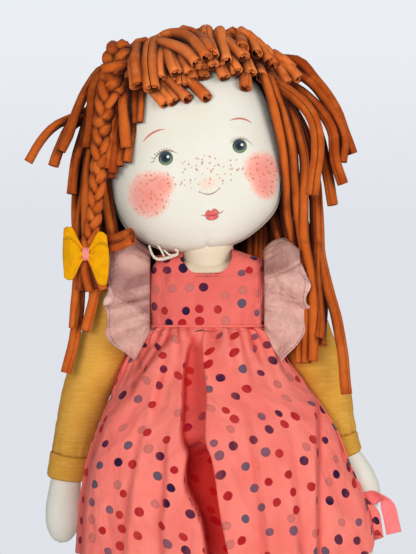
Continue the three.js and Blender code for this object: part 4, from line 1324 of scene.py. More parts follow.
def front_place(u, v):
    """The bib, and above its edge the two straps that go on over the shoulders."""
    if v <= 1 - STRAP_SHARE:
        return bib_place(u, v / (1 - STRAP_SHARE))
    t = (v - 1 + STRAP_SHARE) / STRAP_SHARE
    foot = (bib_place(u, 1.0) - MIDDLE) / MM
    side = 1 if foot.x > 0 else -1
    share = min((abs(foot.x) - NECK_HALF) / (STRAP_OUTER - NECK_HALF), 1.0)
    rise = 1 - min(t / 0.26, 1)
    inner = NECK_HALF + 9.8 * math.sqrt(1 - rise * rise) - 1.5 * smoothstep(t, 0.76, 1.0)
    outer = STRAP_OUTER - (3.0 * smoothstep(t, 0.0, 0.2) if side < 0 else 0.0)
    across = inner + (outer - inner) * share if share > 0 else abs(foot.x) * inner / NECK_HALF
    arch = math.sin(math.pi * (0.06 + t)) - math.sin(0.06 * math.pi)
    tall = 9.0 + 8.6 * max(1 - share, 0) ** 0.8 if side > 0 else 12.0 + 4.0 * (1 - max(share, 0))
    y = foot.y + (17.5 - foot.y) * (1 - math.cos(math.pi * t)) / 2
    z = foot.z + tall * arch - 7 * smoothstep(t, 0.85, 1.0) + 0.7 * t * ripple(across, t * 44, 3 * side, 9)
    return at(side * across, y, z)


def front_keep(u, v):
    x = abs((bib_place(u, 1.0).x - MIDDLE.x) / MM)
    return v < 1 - STRAP_SHARE or NECK_HALF < x < STRAP_OUTER


# %% [markdown]
# The topstitching lies on the cloth's own chart, whose zero is the end of the straps. So the way from there down to
# the bib's upper edge is measured first. Rows also run beside both straps and down both sides.

# %% Topstitching and the bib
MEASURES = 80
bib_top = 0.0
for i in range(MEASURES):
    v = 1 - STRAP_SHARE + STRAP_SHARE * i / MEASURES
    bib_top -= (front_place(0.5, v + STRAP_SHARE / MEASURES) - front_place(0.5, v)).length / MM
bib_cotton = stitched_dots("bib_cotton", [
    ("y", bib_top - 2.2, 53, 67), ("x", 93.2, -80, -6), ("x", 95.0, -80, -6), ("x", 46.3, -52, -6),
    ("x", 73.7, -52, -6), ("x", 29.5, -52, -6)])
bib = thicken(drape("bib", 110, 84, front_place, bib_cotton, shift=(60, 0), keep=front_keep), 0.8)
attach(bib, "torso")
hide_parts("dress_bib", "strap_left", "strap_right")
print("the bib's edge lies", round(-bib_top, 1), "mm below the end of the straps")


# %% [markdown]
# The back of the bodice closes with a lap in the middle, where two rows of stitches run down.

# %% Back of the bodice
def back_place(u, v):
    z = bodice_height(v)
    angle = 4 + 172 * u
    x, y = girth(z, angle, 2.0 + 0.7 * ripple(u * 60, 50, z, 13))
    lap = 0.7 * smoothstep(u, 0.47, 0.5)
    return at(x, y + lap * math.sin(math.radians(angle)), z)


back_cotton = stitched_dots("back_cotton", [("y", -2.2, 200, 330), ("x", 255.5, -40, 0), ("x", 263.5, -40, 0)])
bodice_back = thicken(drape("bodice_back", 72, 20, back_place, back_cotton, shift=(260, 0)), 0.8)
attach(bodice_back, "torso")
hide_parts("dress_back")
print("the back has", len(bodice_back.data.polygons), "faces")

# %% [markdown]
# ## The skirt
# The skirt is gathered into the waist seam and hangs in a few large folds. A first table gives how far it reaches to
# each side at each drop below the waist. A second one holds the folds of the front, read off the picture: each fold
# is an edge that the cloth steps back from, on its left or on its right. The skirt is made in two halves, because
# each has to go with its own leg. The right half turns back on itself along the middle fold, and the left half runs
# on beneath it. The dots lie on the cloth as on a cone that is rolled out flat, so they stay round down to the hem.

# %% Shape of the skirt
SKIRT = [(0, 35.6, 35.6, 24.6, 24.6), (6, 38.5, 39.5, 28, 27.5), (18, 43, 47, 33, 31), (33, 52, 58, 39, 36),
         (44, 60, 66, 43, 39), (60, 66.5, 77, 48, 41), (78, 73, 85, 52, 43), (106, 77.5, 95, 56, 46),
         (137.5, 80.5, 104, 59, 49)]
SKIRT_LENGTH = 137.5
BACK_VALLEYS = [
    # angle at the waist, angle at the hem, width, depth and where the fold begins
    (18, 16, 5, 4, 0.5), (50, 48, 9, 7, 0.2), (90, 90, 8, 8, 0.1), (125, 125, 9, 7, 0.2), (160, 164, 9, 6, 0.3)]
MIDDLE_FOLD = [(329, 204), (347, 203), (364, 204), (381, 206), (399, 207), (420, 206), (442, 206), (459, 212),
               (481, 216), (503, 219), (527, 223), (550, 228), (564, 231)]
LEFT_FOLDS = [
    # side that lies back, width of the step, how far the step reaches, then rows of height, edge and depth
    (1, 1.8, 300, [(329, 197, 0.3), (345, 189, 4), (360, 185, 8), (379, 182.5, 11), (401, 182, 12), (420, 181, 12),
                   (436, 181, 12), (446, 183, 16), (455, 187, 25), (472, 185, 30), (488, 186, 31), (501, 192, 32),
                   (516, 199, 32), (531, 203, 32), (564, 207, 32)]),
    (-1, 2.8, 20, [(329, 177, 0), (342, 168, 5), (358, 155, 7), (375, 142, 6.5), (390, 134, 4), (408, 127, 0)]),
    (-1, 3.0, 14, [(333, 163, 0), (350, 150, 3.6), (368, 138, 3.6), (384, 128, 0)]),
    (-1, 2.6, 26, [(430, 169, 0), (448, 167, 2), (475, 166, 3), (498, 165, 3), (520, 162, 3), (564, 165, 3)]),
    (-1, 3.4, 24, [(395, 114, 0), (420, 105, 3), (440, 99, 5), (468, 90, 5.5), (498, 85, 5.5), (564, 80, 5)]),
    (-1, 4.0, 24, [(400, 150, 0), (440, 141, 2), (500, 130, 3), (564, 124, 3)]),
    (1, 4.0, 16, [(352, 166, 0), (372, 160, 3), (398, 154, 3.4), (428, 150, 0)])]
RIGHT_FOLDS = [
    (1, 3.0, 44, [(388, 311, 0), (400, 317, 4), (412, 319, 7), (455, 319, 9), (498, 318, 9), (564, 318.5, 10)]),
    (1, 3.4, 14, [(327, 246, 0), (340, 249, 4), (356, 256, 3), (376, 268, 0)]),
    (-1, 3.4, 12, [(327, 224, 0), (338, 222, 3), (354, 219, 0)]),
    (1, 4.4, 18, [(330, 236, 0), (360, 244, 2.6), (400, 254, 0)]),
    (-1, 5.0, 30, [(380, 240, 0), (430, 252, 2), (500, 262, 3), (564, 268, 3)]),
    (1, 5.0, 26, [(410, 282, 0), (460, 290, 2), (564, 300, 3)])]
CLOTH_PIXEL, CLOTH_MIDDLE, WAIST_ROW = 0.588, 207, 327.7
print(len(LEFT_FOLDS) + len(RIGHT_FOLDS), "folds beside the middle one, and", len(BACK_VALLEYS), "valleys at the back")


# %% [markdown]
# The folds were read in pixels, so these helpers turn a drop below the waist into a row of the picture, and a column
# into millimetres on the cloth. The last two say how far each fold sets the cloth back, and how dark its foot is.

# %% Reading the folds
def in_picture(rows, drop):
    return read(rows, WAIST_ROW + drop / CLOTH_PIXEL)


def on_cloth(px):
    return (px - CLOTH_MIDDLE) * CLOTH_PIXEL


def fold_steps(folds, x, drop):
    """For each fold: how far x is past its edge, how deep it is there, its step's width and its reach."""
    for side, width, reach, rows in folds:
        edge, depth = in_picture(rows, drop)
        yield side * (x - on_cloth(edge)), depth, width, reach


def recess(folds, x, drop):
    return sum(depth * smoothstep(away, -width / 2, width / 2) * (1 - smoothstep(away, 0.3 * reach, reach))
               for away, depth, width, reach in fold_steps(folds, x, drop))


def creases(folds, x, drop):
    """A thin shadow along the foot of each fold."""
    return sum(0.5 * min(max(depth, 0) / 5, 1) * bell(away - 0.5 * width, 1.6)
               for away, depth, width, _ in fold_steps(folds, x, drop))


# %% [markdown]
# Next is the skirt's surface without its front folds: the reach from the table, the gathers that fade below the waist,
# a puff over them, the valleys at the back and a slow ripple all over.

# %% The skirt's surface
def gather_wave(angle):
    return math.sin(math.radians(angle) * 30 + 5 * ripple(angle, 3, 0, 30))


def wrapped(angle):
    """The same angle from -180 to 180 degrees."""
    return (angle + 180) % 360 - 180


def skirt_relief(x, y, drop, angle):
    """How far the folded skirt stands out from its plain shape."""
    t = min(drop / SKIRT_LENGTH, 1.0)
    dip = 0.0
    for start, end, width, depth, begins in BACK_VALLEYS:
        away = wrapped(angle - (start + (end - start) * t))
        dip += depth * bell(away, width * (0.55 + 0.6 * t)) * smoothstep(t, begins, begins + 0.45)
    lobe = 8 * bell(angle - 9, 6) * smoothstep(drop, 100, 114)
    gathers = 1.5 * (1 + 0.8 * ripple(angle, 0, 9, 18)) * math.exp(-drop / 15) * gather_wave(angle)
    soft = (2.4 * ripple(x, y, drop * 0.7, 30) + 0.9 * ripple(x, 40, drop, 12)) * smoothstep(drop, 3, 40)
    puff = 1.5 * smoothstep(drop, 0, 6) * (1 - smoothstep(drop, 10, 40))
    puff += 5.5 * bell(angle + 195, 22) * bell(drop - 24, 17)
    return gathers * smoothstep(drop, 0, 3) + soft + puff + lobe - dip * t**0.5


def skirt_place(drop, angle, inset=0.0, deeper=0.0, folded=True):
    left, right, front, back = read(SKIRT, min(drop, SKIRT_LENGTH))
    middle = -17 * min(1, drop / 50)
    at_front, at_left = -180 < wrapped(angle) < 0, abs(wrapped(angle)) > 90
    bulge = 2 / SQUARE + ((1.0 if at_front else 1.5) - 2 / SQUARE) * min(1, drop / (50 if at_front else 90))
    if at_front and not folded:
        bulge = min(bulge, 1.1)
    across, deep = squared(angle, bulge)
    x = across * ((left if at_left else right) - inset)
    y = middle + deep * (max(front + middle - inset - deeper, 4) if at_front else back - middle - inset)
    if folded:
        out = Vector((x, y - middle)).normalized() * skirt_relief(x, y, drop, angle)
        x += out.x
        y += out.y
    return x, y


def hem_at(angle):
    """How long the skirt hangs at each angle: the hem is higher at the right side."""
    return SKIRT_LENGTH - 11 * bell(wrapped(angle - 2), 15) + 1.2 * ripple(angle, 0, 8, 22)


# %% [markdown]
# The two halves meet under the middle fold. A narrow strip at the right half's edge, the share FOLD_BACK of its
# width, turns back and runs in to the cloth beneath, so that the fold can be looked into from the side.

# %% Both halves of the skirt
FOLD_BACK = 0.05
FOLD_LIP = 4.2


def left_spot(u, v):
    angle = -270 + 180 * u
    return angle, hem_at(angle) * (1 - v)


def right_spot(u, v):
    angle = -90 + 180 * max(0.0, u - FOLD_BACK) / (1 - FOLD_BACK)
    return angle, hem_at(angle) * (1 - v)


def left_half(u, v):
    angle, drop = left_spot(u, v)
    x, y = skirt_place(drop, angle)
    fold = on_cloth(in_picture(MIDDLE_FOLD, drop))
    x += smoothstep(angle, -130, -90) * (fold + 8 * smoothstep(drop, 0, 12))
    if angle > -180:
        y += recess(LEFT_FOLDS, x, drop)
    return at(x, y, WAIST - 0.3 - drop)


def right_half(u, v):
    angle, drop = right_spot(u, v)
    turned = max(0.0, 1 - u / FOLD_BACK)
    x, y = skirt_place(drop, angle)
    fold = on_cloth(in_picture(MIDDLE_FOLD, drop))
    room = smoothstep(drop, 2, 30)
    wall = max(in_picture(LEFT_FOLDS[0][3], drop)[1] - 4, FOLD_LIP)
    x += (1 - smoothstep(angle, -90, -52)) * fold + 5 * turned * room
    y += (FOLD_LIP * math.sqrt(min(turned * 4, 1)) + (wall - FOLD_LIP) * turned) * room
    if angle < 0:
        y += recess(RIGHT_FOLDS, x, drop)
    return at(x, y, WAIST - 0.3 - drop)


# %% [markdown]
# Deep folds and the hollows between the gathers keep the light out, and warm cloth glows red in there. The shade is
# worked out per vertex and painted into the cotton's colour: painted shade.

# %% Shade in the folds
def gather_shade(angle, drop):
    """The dark hollows between the gathers, just under the waist."""
    return 0.7 * math.exp(-drop / 13) * max(0.0, -gather_wave(angle))


def left_shade(u, v):
    angle, drop = left_spot(u, v)
    shade = gather_shade(angle, drop)
    # Painted shade on the back-left bulge, in the shadow between the arm and the body.
    shade += 0.9 * smoothstep(-angle, 178, 186) * (1 - smoothstep(-angle, 205, 235)) * (1 - smoothstep(drop, 34, 60))
    if angle > -180:
        edge, depth = in_picture(LEFT_FOLDS[0][3], drop)
        x = (left_half(u, v).x - MIDDLE.x) / MM
        shade += min(0.3 + depth / 34, 1.0) * smoothstep(depth, 0.5, 6) * smoothstep(x - on_cloth(edge), -0.8, 1.6)
        shade += creases(LEFT_FOLDS, x, drop)
    return min(shade, 1.0)


def right_shade(u, v):
    angle, drop = right_spot(u, v)
    x = (right_half(u, v).x - MIDDLE.x) / MM
    return min(gather_shade(angle, drop) + (creases(RIGHT_FOLDS, x, drop) if angle < 0 else 0.0), 1.0)


# %% The skirt
HIP = {"left": -23, "right": 23}
HIP_TOP, HIP_LOW = 262, 205
CONE_TIP = 84
HALVES = (("left", left_half, (0, 0), left_shade), ("right", right_half, (500, 0), right_shade))
for name, place, shift, shade in HALVES:
    half = thicken(drape(f"skirt_{name}", 260, 90, place, skirt_cotton, tip=CONE_TIP, shift=shift, shade=shade), 0.7)
    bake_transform(half, "torso", f"leg_{name}", start=at(HIP[name], 0, HIP_TOP), end=at(HIP[name], 0, HIP_LOW))
    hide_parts("dress_skirt")
    print(half.name, "has", len(half.data.polygons), "faces")

# %% [markdown]
# A thin roll of the same cotton hides the seam between bodice and skirt, once round the waist.

# %% The waist seam
seam_line = [at(*girth(WAIST, -90 + 360 * i / 96, 2.9), WAIST + 0.1) for i in range(97)]
piping = finish_piece("waist_seam", draw_along(circle(0.75, 8), seam_line, Vector((0, 0, 1)), closed=True),
                      skirt_cotton)
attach(piping, "torso")

# %% [markdown]
# ## The petticoat
# Under the skirt hangs a second one of small-print cotton, a few millimetres longer. It follows the skirt's plain
# shape, further in, and steps back behind the deep middle fold. Its frill peeks out at the right.

# %% Petticoat
printed = Finish("small_print", rough=0.85)
printed.start((242, 228, 220))
near, tint, _ = printed.cells(4.6)
marks = (near + printed.noise(2.2, "UV", detail=2) * 2.6).step(1.75, 2.1)
printed.paint(marks, (150, 36, 60), 0.9)
printed.paint(marks * tint.step(0.4, 0.45), (46, 38, 84), 0.95)
printed.raise_by(printed.noise(12, detail=3), 0.8)
small_print = printed.done()
PETTICOAT_TOP, PETTICOAT_LENGTH = 6, 146


def petticoat_half(low, high):
    def place(u, v):
        angle = low + (high - low) * u
        drop = PETTICOAT_TOP + (PETTICOAT_LENGTH - PETTICOAT_TOP) * (1 - v)
        t = drop / PETTICOAT_LENGTH
        inset = 2.2 + 12 * min(drop / SKIRT_LENGTH, 1) ** 0.8
        x, y = skirt_place(drop, angle, inset, deeper=14 * t, folded=False)
        if -180 < angle < 0:
            y += in_picture(LEFT_FOLDS[0][3], drop)[1] * (1 - smoothstep(abs(x + 3), 13, 32))
        else:
            y -= 13 * t * math.sin(math.radians(angle)) ** 2
            x *= 1 - 0.05 * t
        wave = 2.6 * t * math.sin(math.radians(angle) * 11) + 1.5 * t * ripple(angle, drop, 2, 20)
        frill = 14 * bell(angle - 5, 11) * smoothstep(drop, 118, 136)
        out = Vector((x, y)).normalized() * (wave + frill)
        return at(x + out.x, y + out.y, WAIST - 0.3 - drop + 1.2 * ripple(angle, 5, 5, 15) * t)

    return place


for name, low, high in (("left", -270, -90), ("right", -90, 90)):
    half = thicken(drape(f"petticoat_{name}", 140, 44, petticoat_half(low, high), small_print, tip=CONE_TIP), 0.6)
    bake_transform(half, "torso", f"leg_{name}", start=at(HIP[name], 0, HIP_TOP), end=at(HIP[name], 0, HIP_LOW))
    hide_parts("petticoat")
    print(half.name, "has", len(half.data.polygons), "faces")

# %% [markdown]
# ## Flutter sleeves
# The ruffles are crinkled dusty-pink linen, gathered into the bodice's sides and over the shoulders. The cloth is a
# flat strip again. Its ripples grow from the seam to the free edge, where a row of stitches holds the narrow hem.

# %% Crinkled linen
crinkled = dyed("crinkled_linen", (228, 180, 166), (216, 162, 150), 0.8, 14, (0.3, 0.62), relief=((2, 3, 0.3),),
                rough=0.92)
across, along, _ = crinkled.parts("UV")
hem = abs(across - 26.6).step(0.15, 0.45)
crinkled.paint(hem * stitches(along, 1.7), (178, 120, 116), 0.75)
crinkled.paint((across * -1).step(-29.3, -28.7), (238, 206, 198), 0.8)
crinkled.raise_by(hem, -0.3)
crinkled.raise_by(crinkled.noise(9, "UV", detail=4), 3.4)
for size, strength in ((14, 0.22), (8, 0.16)):
    crease = abs(crinkled.noise(size, "UV", detail=2) - 0.5)
    # The creases are also painted darker: painted shade along them.
    crinkled.paint(crease.step(0.0, 0.05), (198, 142, 132), strength)
    crinkled.raise_by(crease.step(0.0, 0.07), -0.16)
# Painted shade from the `shade` attribute: gathers, pleats, the lap and the hair's shadow.
crinkled.paint(crinkled.attribute("shade"), (128, 78, 74), 0.75)
linen = crinkled.done()

# %% Shape of the ruffles
RUFFLE_SEAM = [(0, -15.5, WAIST - 4), (0.1, -15.5, WAIST + 3), (0.25, -15.5, WAIST + 16), (0.4, -15.2, BODICE_TOP - 4),
               (0.5, -12, BODICE_TOP + 8), (0.62, 0, BODICE_TOP + 12.5), (0.75, 13, BODICE_TOP + 6),
               (0.88, 15.5, WAIST + 20), (1.0, 15.5, WAIST + 4)]


def past_lap(side, u, v):
    """The ruffle's lower part laps over the upper one along a slanting line. This is the way past that line."""
    return v - ((0.13 + 0.27 * u) if side < 0 else (0.40 + 0.08 * u))


def petal(side, u, v):
    """How far the lower part stands off at the lap."""
    away = past_lap(side, u, v)
    return 7.5 * u**0.5 * smoothstep(-away, 0.0, 0.02) * math.exp(-max(-away, 0) / 0.1)


def ruffle_place(side):
    def place(u, v):
        y, z = read(RUFFLE_SEAM, v)
        y2, z2 = read(RUFFLE_SEAM, min(v + 0.01, 1))
        y1, z1 = read(RUFFLE_SEAM, max(v - 0.01, 0))
        along = Vector((0, y2 - y1, z2 - z1)).normalized()
        outward = Vector((0, -along.z, along.y))
        tip_low = smoothstep(v, -0.02, 0.12)
        over = smoothstep(v, 0.34, 0.5) * (1 - smoothstep(v, 0.62, 0.78))
        reach = 26.5 * (0.32 + 0.68 * tip_low) * (0.4 + 0.6 * smoothstep(1 - v, 0.0, 0.2))
        reach *= 1 + 0.06 * u * math.sin(2 * math.pi * 5.1 * v + side) - 0.12 * over
        phase = 2 * math.pi * 4.3 * v + 1.9 * math.sin(11 * v + side) + (0 if side > 0 else 1.1)
        waves = (0.8 + 2.6 * u) * u**0.7 * (0.6 + math.sin(phase)) + petal(side, u, v)
        fine = 0.6 * (1 - u) ** 2 * smoothstep(u, 0, 0.12)
        fine *= math.sin(2 * math.pi * 22 * v + 6 * ripple(v * 90, 0, 4, 9))
        lift = 4.5 * u * (1 - over) + 8.5 * math.sin(2.5 * u) * over
        rough = 3.8 * u**0.6 * ripple(u * 27, v * 150, side * 9, 13) + 0.3 * u * ripple(u * 27, v * 130, side * 5, 4.5)
        x = side * (34.8 + u * reach + 1.2 * u * ripple(v * 110, 0, side * 5, 8))
        point = Vector((x, y, z)) + outward * (waves + fine + lift + rough)
        point.z -= 17 * u * max(0, 1 - v / 0.2) + 5 * u * smoothstep(v, 0.1, 0.3) * (1 - smoothstep(v, 0.35, 0.5))
        point.z -= 4 * u * u * over
        return at(*point)

    return place


# %% [markdown]
# The hair lies over the left ruffle and shades it, so its hollows get painted shade. At the right only the gathers
# and the lap do.

# %% The ruffles
def ruffle_shade(side):
    def shade(u, v):
        # Painted shade: the gathers at the seam, the pleats, the cloth under the lap, and on the left the hair's
        # shadow.
        seam = 0.5 * math.exp(-u / 0.05) + 0.35 * math.exp(-u / 0.3) * max(0.0, ripple(u * 12, v * 170, 3 * side, 6))
        pleat = 0.5 - 0.5 * math.sin(2 * math.pi * 9 * v + 2.2 * math.sin(9 * v + side) + 1.4 * u)
        seam += (0.4 if side < 0 else 0.3) * pleat**2 * (1 - 0.6 * u)
        away = past_lap(side, u, v)
        under = smoothstep(away, -0.004, 0.012)
        if side < 0:
            under *= 0.75 * min(max(0.62 + 1.1 * ripple(u * 15, v * 150, 3, 11), 0.1), 1.0)
            return min(seam + 0.12 + under, 1.0)
        under *= 0.7 * (1 - smoothstep(away, 0.02, 0.12))
        return min(seam + under, 1.0)

    return shade


for side, name in ((-1, "left"), (1, "right")):
    ruffle = thicken(drape(f"ruffle_cloth_{name}", 34, 210, ruffle_place(side), linen, shift=(15, 0),
                           shade=ruffle_shade(side)), 0.6)
    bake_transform(ruffle, "torso", f"shoulder_{name}", start=at(side * 38, 0, 345), end=at(side * 60, 0, 345))
    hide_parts(f"ruffle_{name}")
    print(ruffle.name, "has", len(ruffle.data.polygons), "faces")

# %% [markdown]
# ## Mustard sleeves and hands
# The sleeves are slubby mustard cotton with an outer seam and a turned cuff. The arm is one line from the shoulder to
# the fingertips, and the sleeve, the cuff and the hand are rings of different sizes along it.

# %% Slubby cotton
slubby = dyed("mustard_slub", (222, 164, 68), (206, 146, 48), 0.6, 22, relief=((11, 3, 0.7),))
slub = slubby.noise(1.2, detail=3, scale=(0.14, 0.14, 1.3))
slubby.paint(slub.step(0.36, 0.5), (230, 182, 92), 0.4)
slubby.raise_by(slub, 0.25)
mustard = slubby.done()

# %% Lines and rings of the arms
ARMS = {
    "left": ([(-49, 0, 345), (-75, 9, 280), (-87, 13, 232), (-91, 16, 187)], 111, 126),
    "right": ([(49, 0, 345), (75, 9, 280), (84, 12, 244), (97, 15, 213), (104, 16, 190)], 98, 111),
}
SLEEVE = [(-14, 2), (-12, 8.5), (-8, 12.4), (-3, 14.6), (4, 15.4), (25, 15.8), (50, 15.6), (72, 14.2), (95, 12.0),
          (107, 11.0)]


def arm_piece(name, points, start, end, radius, material, sides, step, crease):
    curve = smooth_line([at(*p) for p in points], 1.0)
    ahead = (curve[1] - curve[0]).normalized()
    line = []
    count = max(2, round((end - start) / step))
    for i in range(count + 1):
        s = start + (end - start) * i / count
        if s < 0:
            line.append(curve[0] + ahead * s * MM)
        else:
            j = min(int(s), len(curve) - 2)
            line.append(curve[j].lerp(curve[j + 1], s - j))
    bm = draw_along(circle(1, sides), line, Vector((0, -1, 0)), size=lambda t: radius(start + (end - start) * t),
                    closed=True)
    around, along = bm.verts.layers.float["around"], bm.verts.layers.float["along"]
    for vertex in bm.verts:
        s = start + vertex[along] / MM
        j = min(max(int(s), 0), len(curve) - 1)
        out = (vertex.co - curve[j]).normalized()
        vertex.co += out * crease(s, vertex[around]) * MM
    return finish_piece(name, bm, material)


# %% [markdown]
# The hand is the end of the stuffed calico arm, a mitten without fingers. It begins inside the sleeve. The right one
# is turned more to the camera, which shows it wider.

# %% Hands
HAND = 41.4


def make_hand(name, points, cuff_start, cuff_end):
    wide = 2.6 if name == "right" else 0.0
    rows = [(cuff_start - 60, 12.2), (cuff_start, 9.6)]
    rows += [(cuff_end + way, radius + share * wide) for way, radius, share in (
        (0, 9.4, 0.4), (8, 10.0, 0.8), (20, 11.0, 1), (30, 10.2, 0.8), (37, 7.2, 0.4), (40.4, 3.6, 0), (HAND, 0.3, 0))]
    hand = arm_piece(f"hand_{name}", points, cuff_start - 40, cuff_end + HAND, lambda s: read(rows, s),
                     calico, 40, 1.6, lambda s, a: 0.3 * ripple(a * 40, s, 4, 14))
    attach(hand, f"arm_{name}")
    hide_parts(f"arm_{name}_skin", f"arm_{name}_stuffing")


# %% [markdown]
# A sleeve creases above its cuff and has a sunk seam along the outer side. The same table of radii serves both arms:
# it is stretched to where the cuff begins. The cuff is a turned band, a little wider than the sleeve. Each round of
# the loop makes one whole arm, and the hand comes last.

# %% Sleeves and cuffs
CUFF = [(0, 11.2), (0.06, 11.9), (0.5, 11.7), (0.94, 11.7), (1, 10.9)]
for name, (points, cuff_start, cuff_end) in ARMS.items():

    def sleeve_size(s):
        return read(SLEEVE, s if s < 0 else s * SLEEVE[-1][0] / cuff_start)

    def sleeve_crease(s, a):
        cuff = bell(s - cuff_start, 14)
        folds = 0.5 * ripple(a * 40, s * 2.2, len(name), 12)
        folds += 0.35 * cuff * math.sin(a * 75 + 3 * ripple(a * 50, s, 0, 9))
        return folds - 0.35 * bell(a - (0.0 if name == "left" else 0.5), 0.012)

    sleeve = arm_piece(f"sleeve_cloth_{name}", points, SLEEVE[0][0], cuff_start - 0.3, sleeve_size, mustard, 56, 2.2,
                       sleeve_crease)
    thicken(sleeve, 0.8)
    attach(sleeve, f"arm_{name}")
    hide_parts(f"sleeve_{name}")

    cuff = arm_piece(f"cuff_cloth_{name}", points, cuff_start, cuff_end,
                     lambda s: read(CUFF, (s - cuff_start) / (cuff_end - cuff_start)), mustard, 48, 1.0,
                     lambda s, a: 0.3 * ripple(a * 40, s, 4, 8))
    thicken(cuff, 1.0)
    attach(cuff, f"arm_{name}")
    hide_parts(f"cuff_{name}")
    make_hand(name, points, cuff_start, cuff_end)
    print(sleeve.name, "runs", round(cuff_start), "mm down the arm, its cuff to", round(cuff_end), "mm")

# %% [markdown]
# Between the bodice and the sleeve the shirt's shoulder shows, a cap of the same mustard cotton over the joint. A ball
# with its lower part cut off does it, and the sleeve's open top turns inside it.

# %% The shirt over the shoulders
for side, name in ((-1, "left"), (1, "right")):
    cap = bmesh.new()
    bmesh.ops.create_uvsphere(cap, u_segments=40, v_segments=24, radius=16.9 * MM)
    cut(cap, (0, 0, 0.003), (0, 0, -1))
    for vertex in cap.verts:
        x, y, z = vertex.co / MM
        vertex.co = vertex.co * (1 + 0.02 * ripple(x, y, z, 8)) + at(side * 49, 0, 345)
    shirt = thicken(finish_piece(f"shirt_cloth_{name}", cap, mustard), 0.6)
    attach(shirt, f"shoulder_{name}")
    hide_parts(f"shirt_shoulder_{name}")

# %% [markdown]
# ## The ribbon tie and the neck cord
# A pink ribbon is sewn into the waist at the back. It comes out between the skirt and the arm and folds over at its
# end. At the neck a thin cream cord of two twisted strands lies over the strap.

# %% Ribbon
tape = Finish("pink_ribbon", rough=0.6)
tape.start((250, 122, 122))
tape.paint(tape.parts("UV")[1].step(-51, -49), (250, 176, 172), 0.75)
tape.paint(tape.noise(9, detail=2).step(0.35, 0.6), (252, 138, 136), 0.5)
tape.raise_by(tape.threads(0.6, "UV", "Y", 0.5), 0.03)
tape.raise_by(tape.noise(8, detail=2), 0.4)
ribbon_cotton = tape.done()
TIE_WIDTH = 9.8
TIE_SPOTS = [(4, 52), (22, 47), (42, 40), (62, 33), (80, 26), (93, 19), (100, 12)]
TIE_EDGES = [((363, 492, -8), (367, 508, -9)), ((372, 490.5, -11), (374, 505, -10)),
             ((383, 495, -17), (381, 500.5, -9.5)), ((391, 500, -14), (380.5, 502.5, -12)),
             ((395.5, 506, -13), (380.8, 507, -13)), ((398.5, 518, -13), (383.5, 519, -13)),
             ((401.5, 531.5, -13), (386.5, 535, -13))]


def tie_table():
    """Both edges of the ribbon against the way along it: first on the back of the skirt, then free."""
    centres, outs = [], []
    for drop, angle in TIE_SPOTS:
        x, y = skirt_place(drop, angle)
        x2, y2 = skirt_place(drop, angle - 3)
        out = Vector((y - y2, x2 - x, 0)).normalized()
        out = out if out.x > 0 else -out
        centres.append(at(x, y, WAIST - drop) + out * 1.8 * MM)
        outs.append(out)
    pairs = []
    for i, (centre, out) in enumerate(zip(centres, outs)):
        ahead = (centres[min(i + 1, len(centres) - 1)] - centres[max(i - 1, 0)]).normalized()
        low = out.cross(ahead).normalized() * TIE_WIDTH / 2 * MM
        pairs.append((centre - low, centre + low))
    pairs += [(seen(*high), seen(*low)) for high, low in TIE_EDGES]
    ways = distances([(high + low) / 2 for high, low in pairs])
    return [(way, *high, *low) for way, (high, low) in zip(ways, pairs)]


tie_rows = tie_table()
print("the ribbon is", round(tie_rows[-1][0] / MM), "mm long")


def tie_place(u, v):
    values = read(tie_rows, v * tie_rows[-1][0])
    return Vector(values[:3]).lerp(Vector(values[3:]), u)


ribbon = thicken(drape("ribbon", 8, 130, tie_place, ribbon_cotton), 0.4)
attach(ribbon, "torso")
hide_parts("tie_ribbon")

# %% [markdown]
# The neck cord is spun from two strands, and it lies on the strap in three short turns. Each strand winds round the
# same line, half a turn apart.

# %% Neck cord
cream_cord = thread_finish("cream_cord", (236, 228, 208), (214, 200, 174))
CORD_PITCH, CORD_STEP = 3.6, 0.5


def twisted(points, radius):
    line = smooth_line([seen(*p) for p in points], CORD_STEP)
    parts = []
    for k in range(2):
        strand = []
        for i, p in enumerate(line):
            t = 2 * math.pi * (i * CORD_STEP / CORD_PITCH) + math.pi * k
            strand.append(p + Vector((0, math.cos(t), math.sin(t))) * radius * 0.55 * MM)
        parts.append(draw_along(circle(radius * 0.62, 8), strand, Vector((0, 1, 0)), closed=True, caps=True))
    return parts


cord_parts = twisted([(149, 246, -17), (152, 254, -19), (156, 258.5, -20), (163, 259, -20.5), (170, 257, -20),
                      (178, 254, -19)], 0.95)
cord_parts += twisted([(158, 246, -18), (161, 250, -20), (164, 256, -21)], 0.8)
cord_parts += twisted([(164, 250, -20), (169, 254.5, -21), (175, 255.5, -21), (178, 251.5, -20), (175, 249.5, -20)],
                      0.7)
cord = finish_piece("neck_cord_strands", gather(cord_parts), cream_cord)
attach(cord, "torso")
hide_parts("neck_cord")
print("the cord has", len(cord_parts), "strands")

# %% [markdown]
# ## Legs, shoes and buttons
# The picture ends above the hem, so the legs and shoes follow what such dolls wear: stuffed calico legs and brown
# felt shoes on flat soles. Two shell buttons close the bodice at the back.

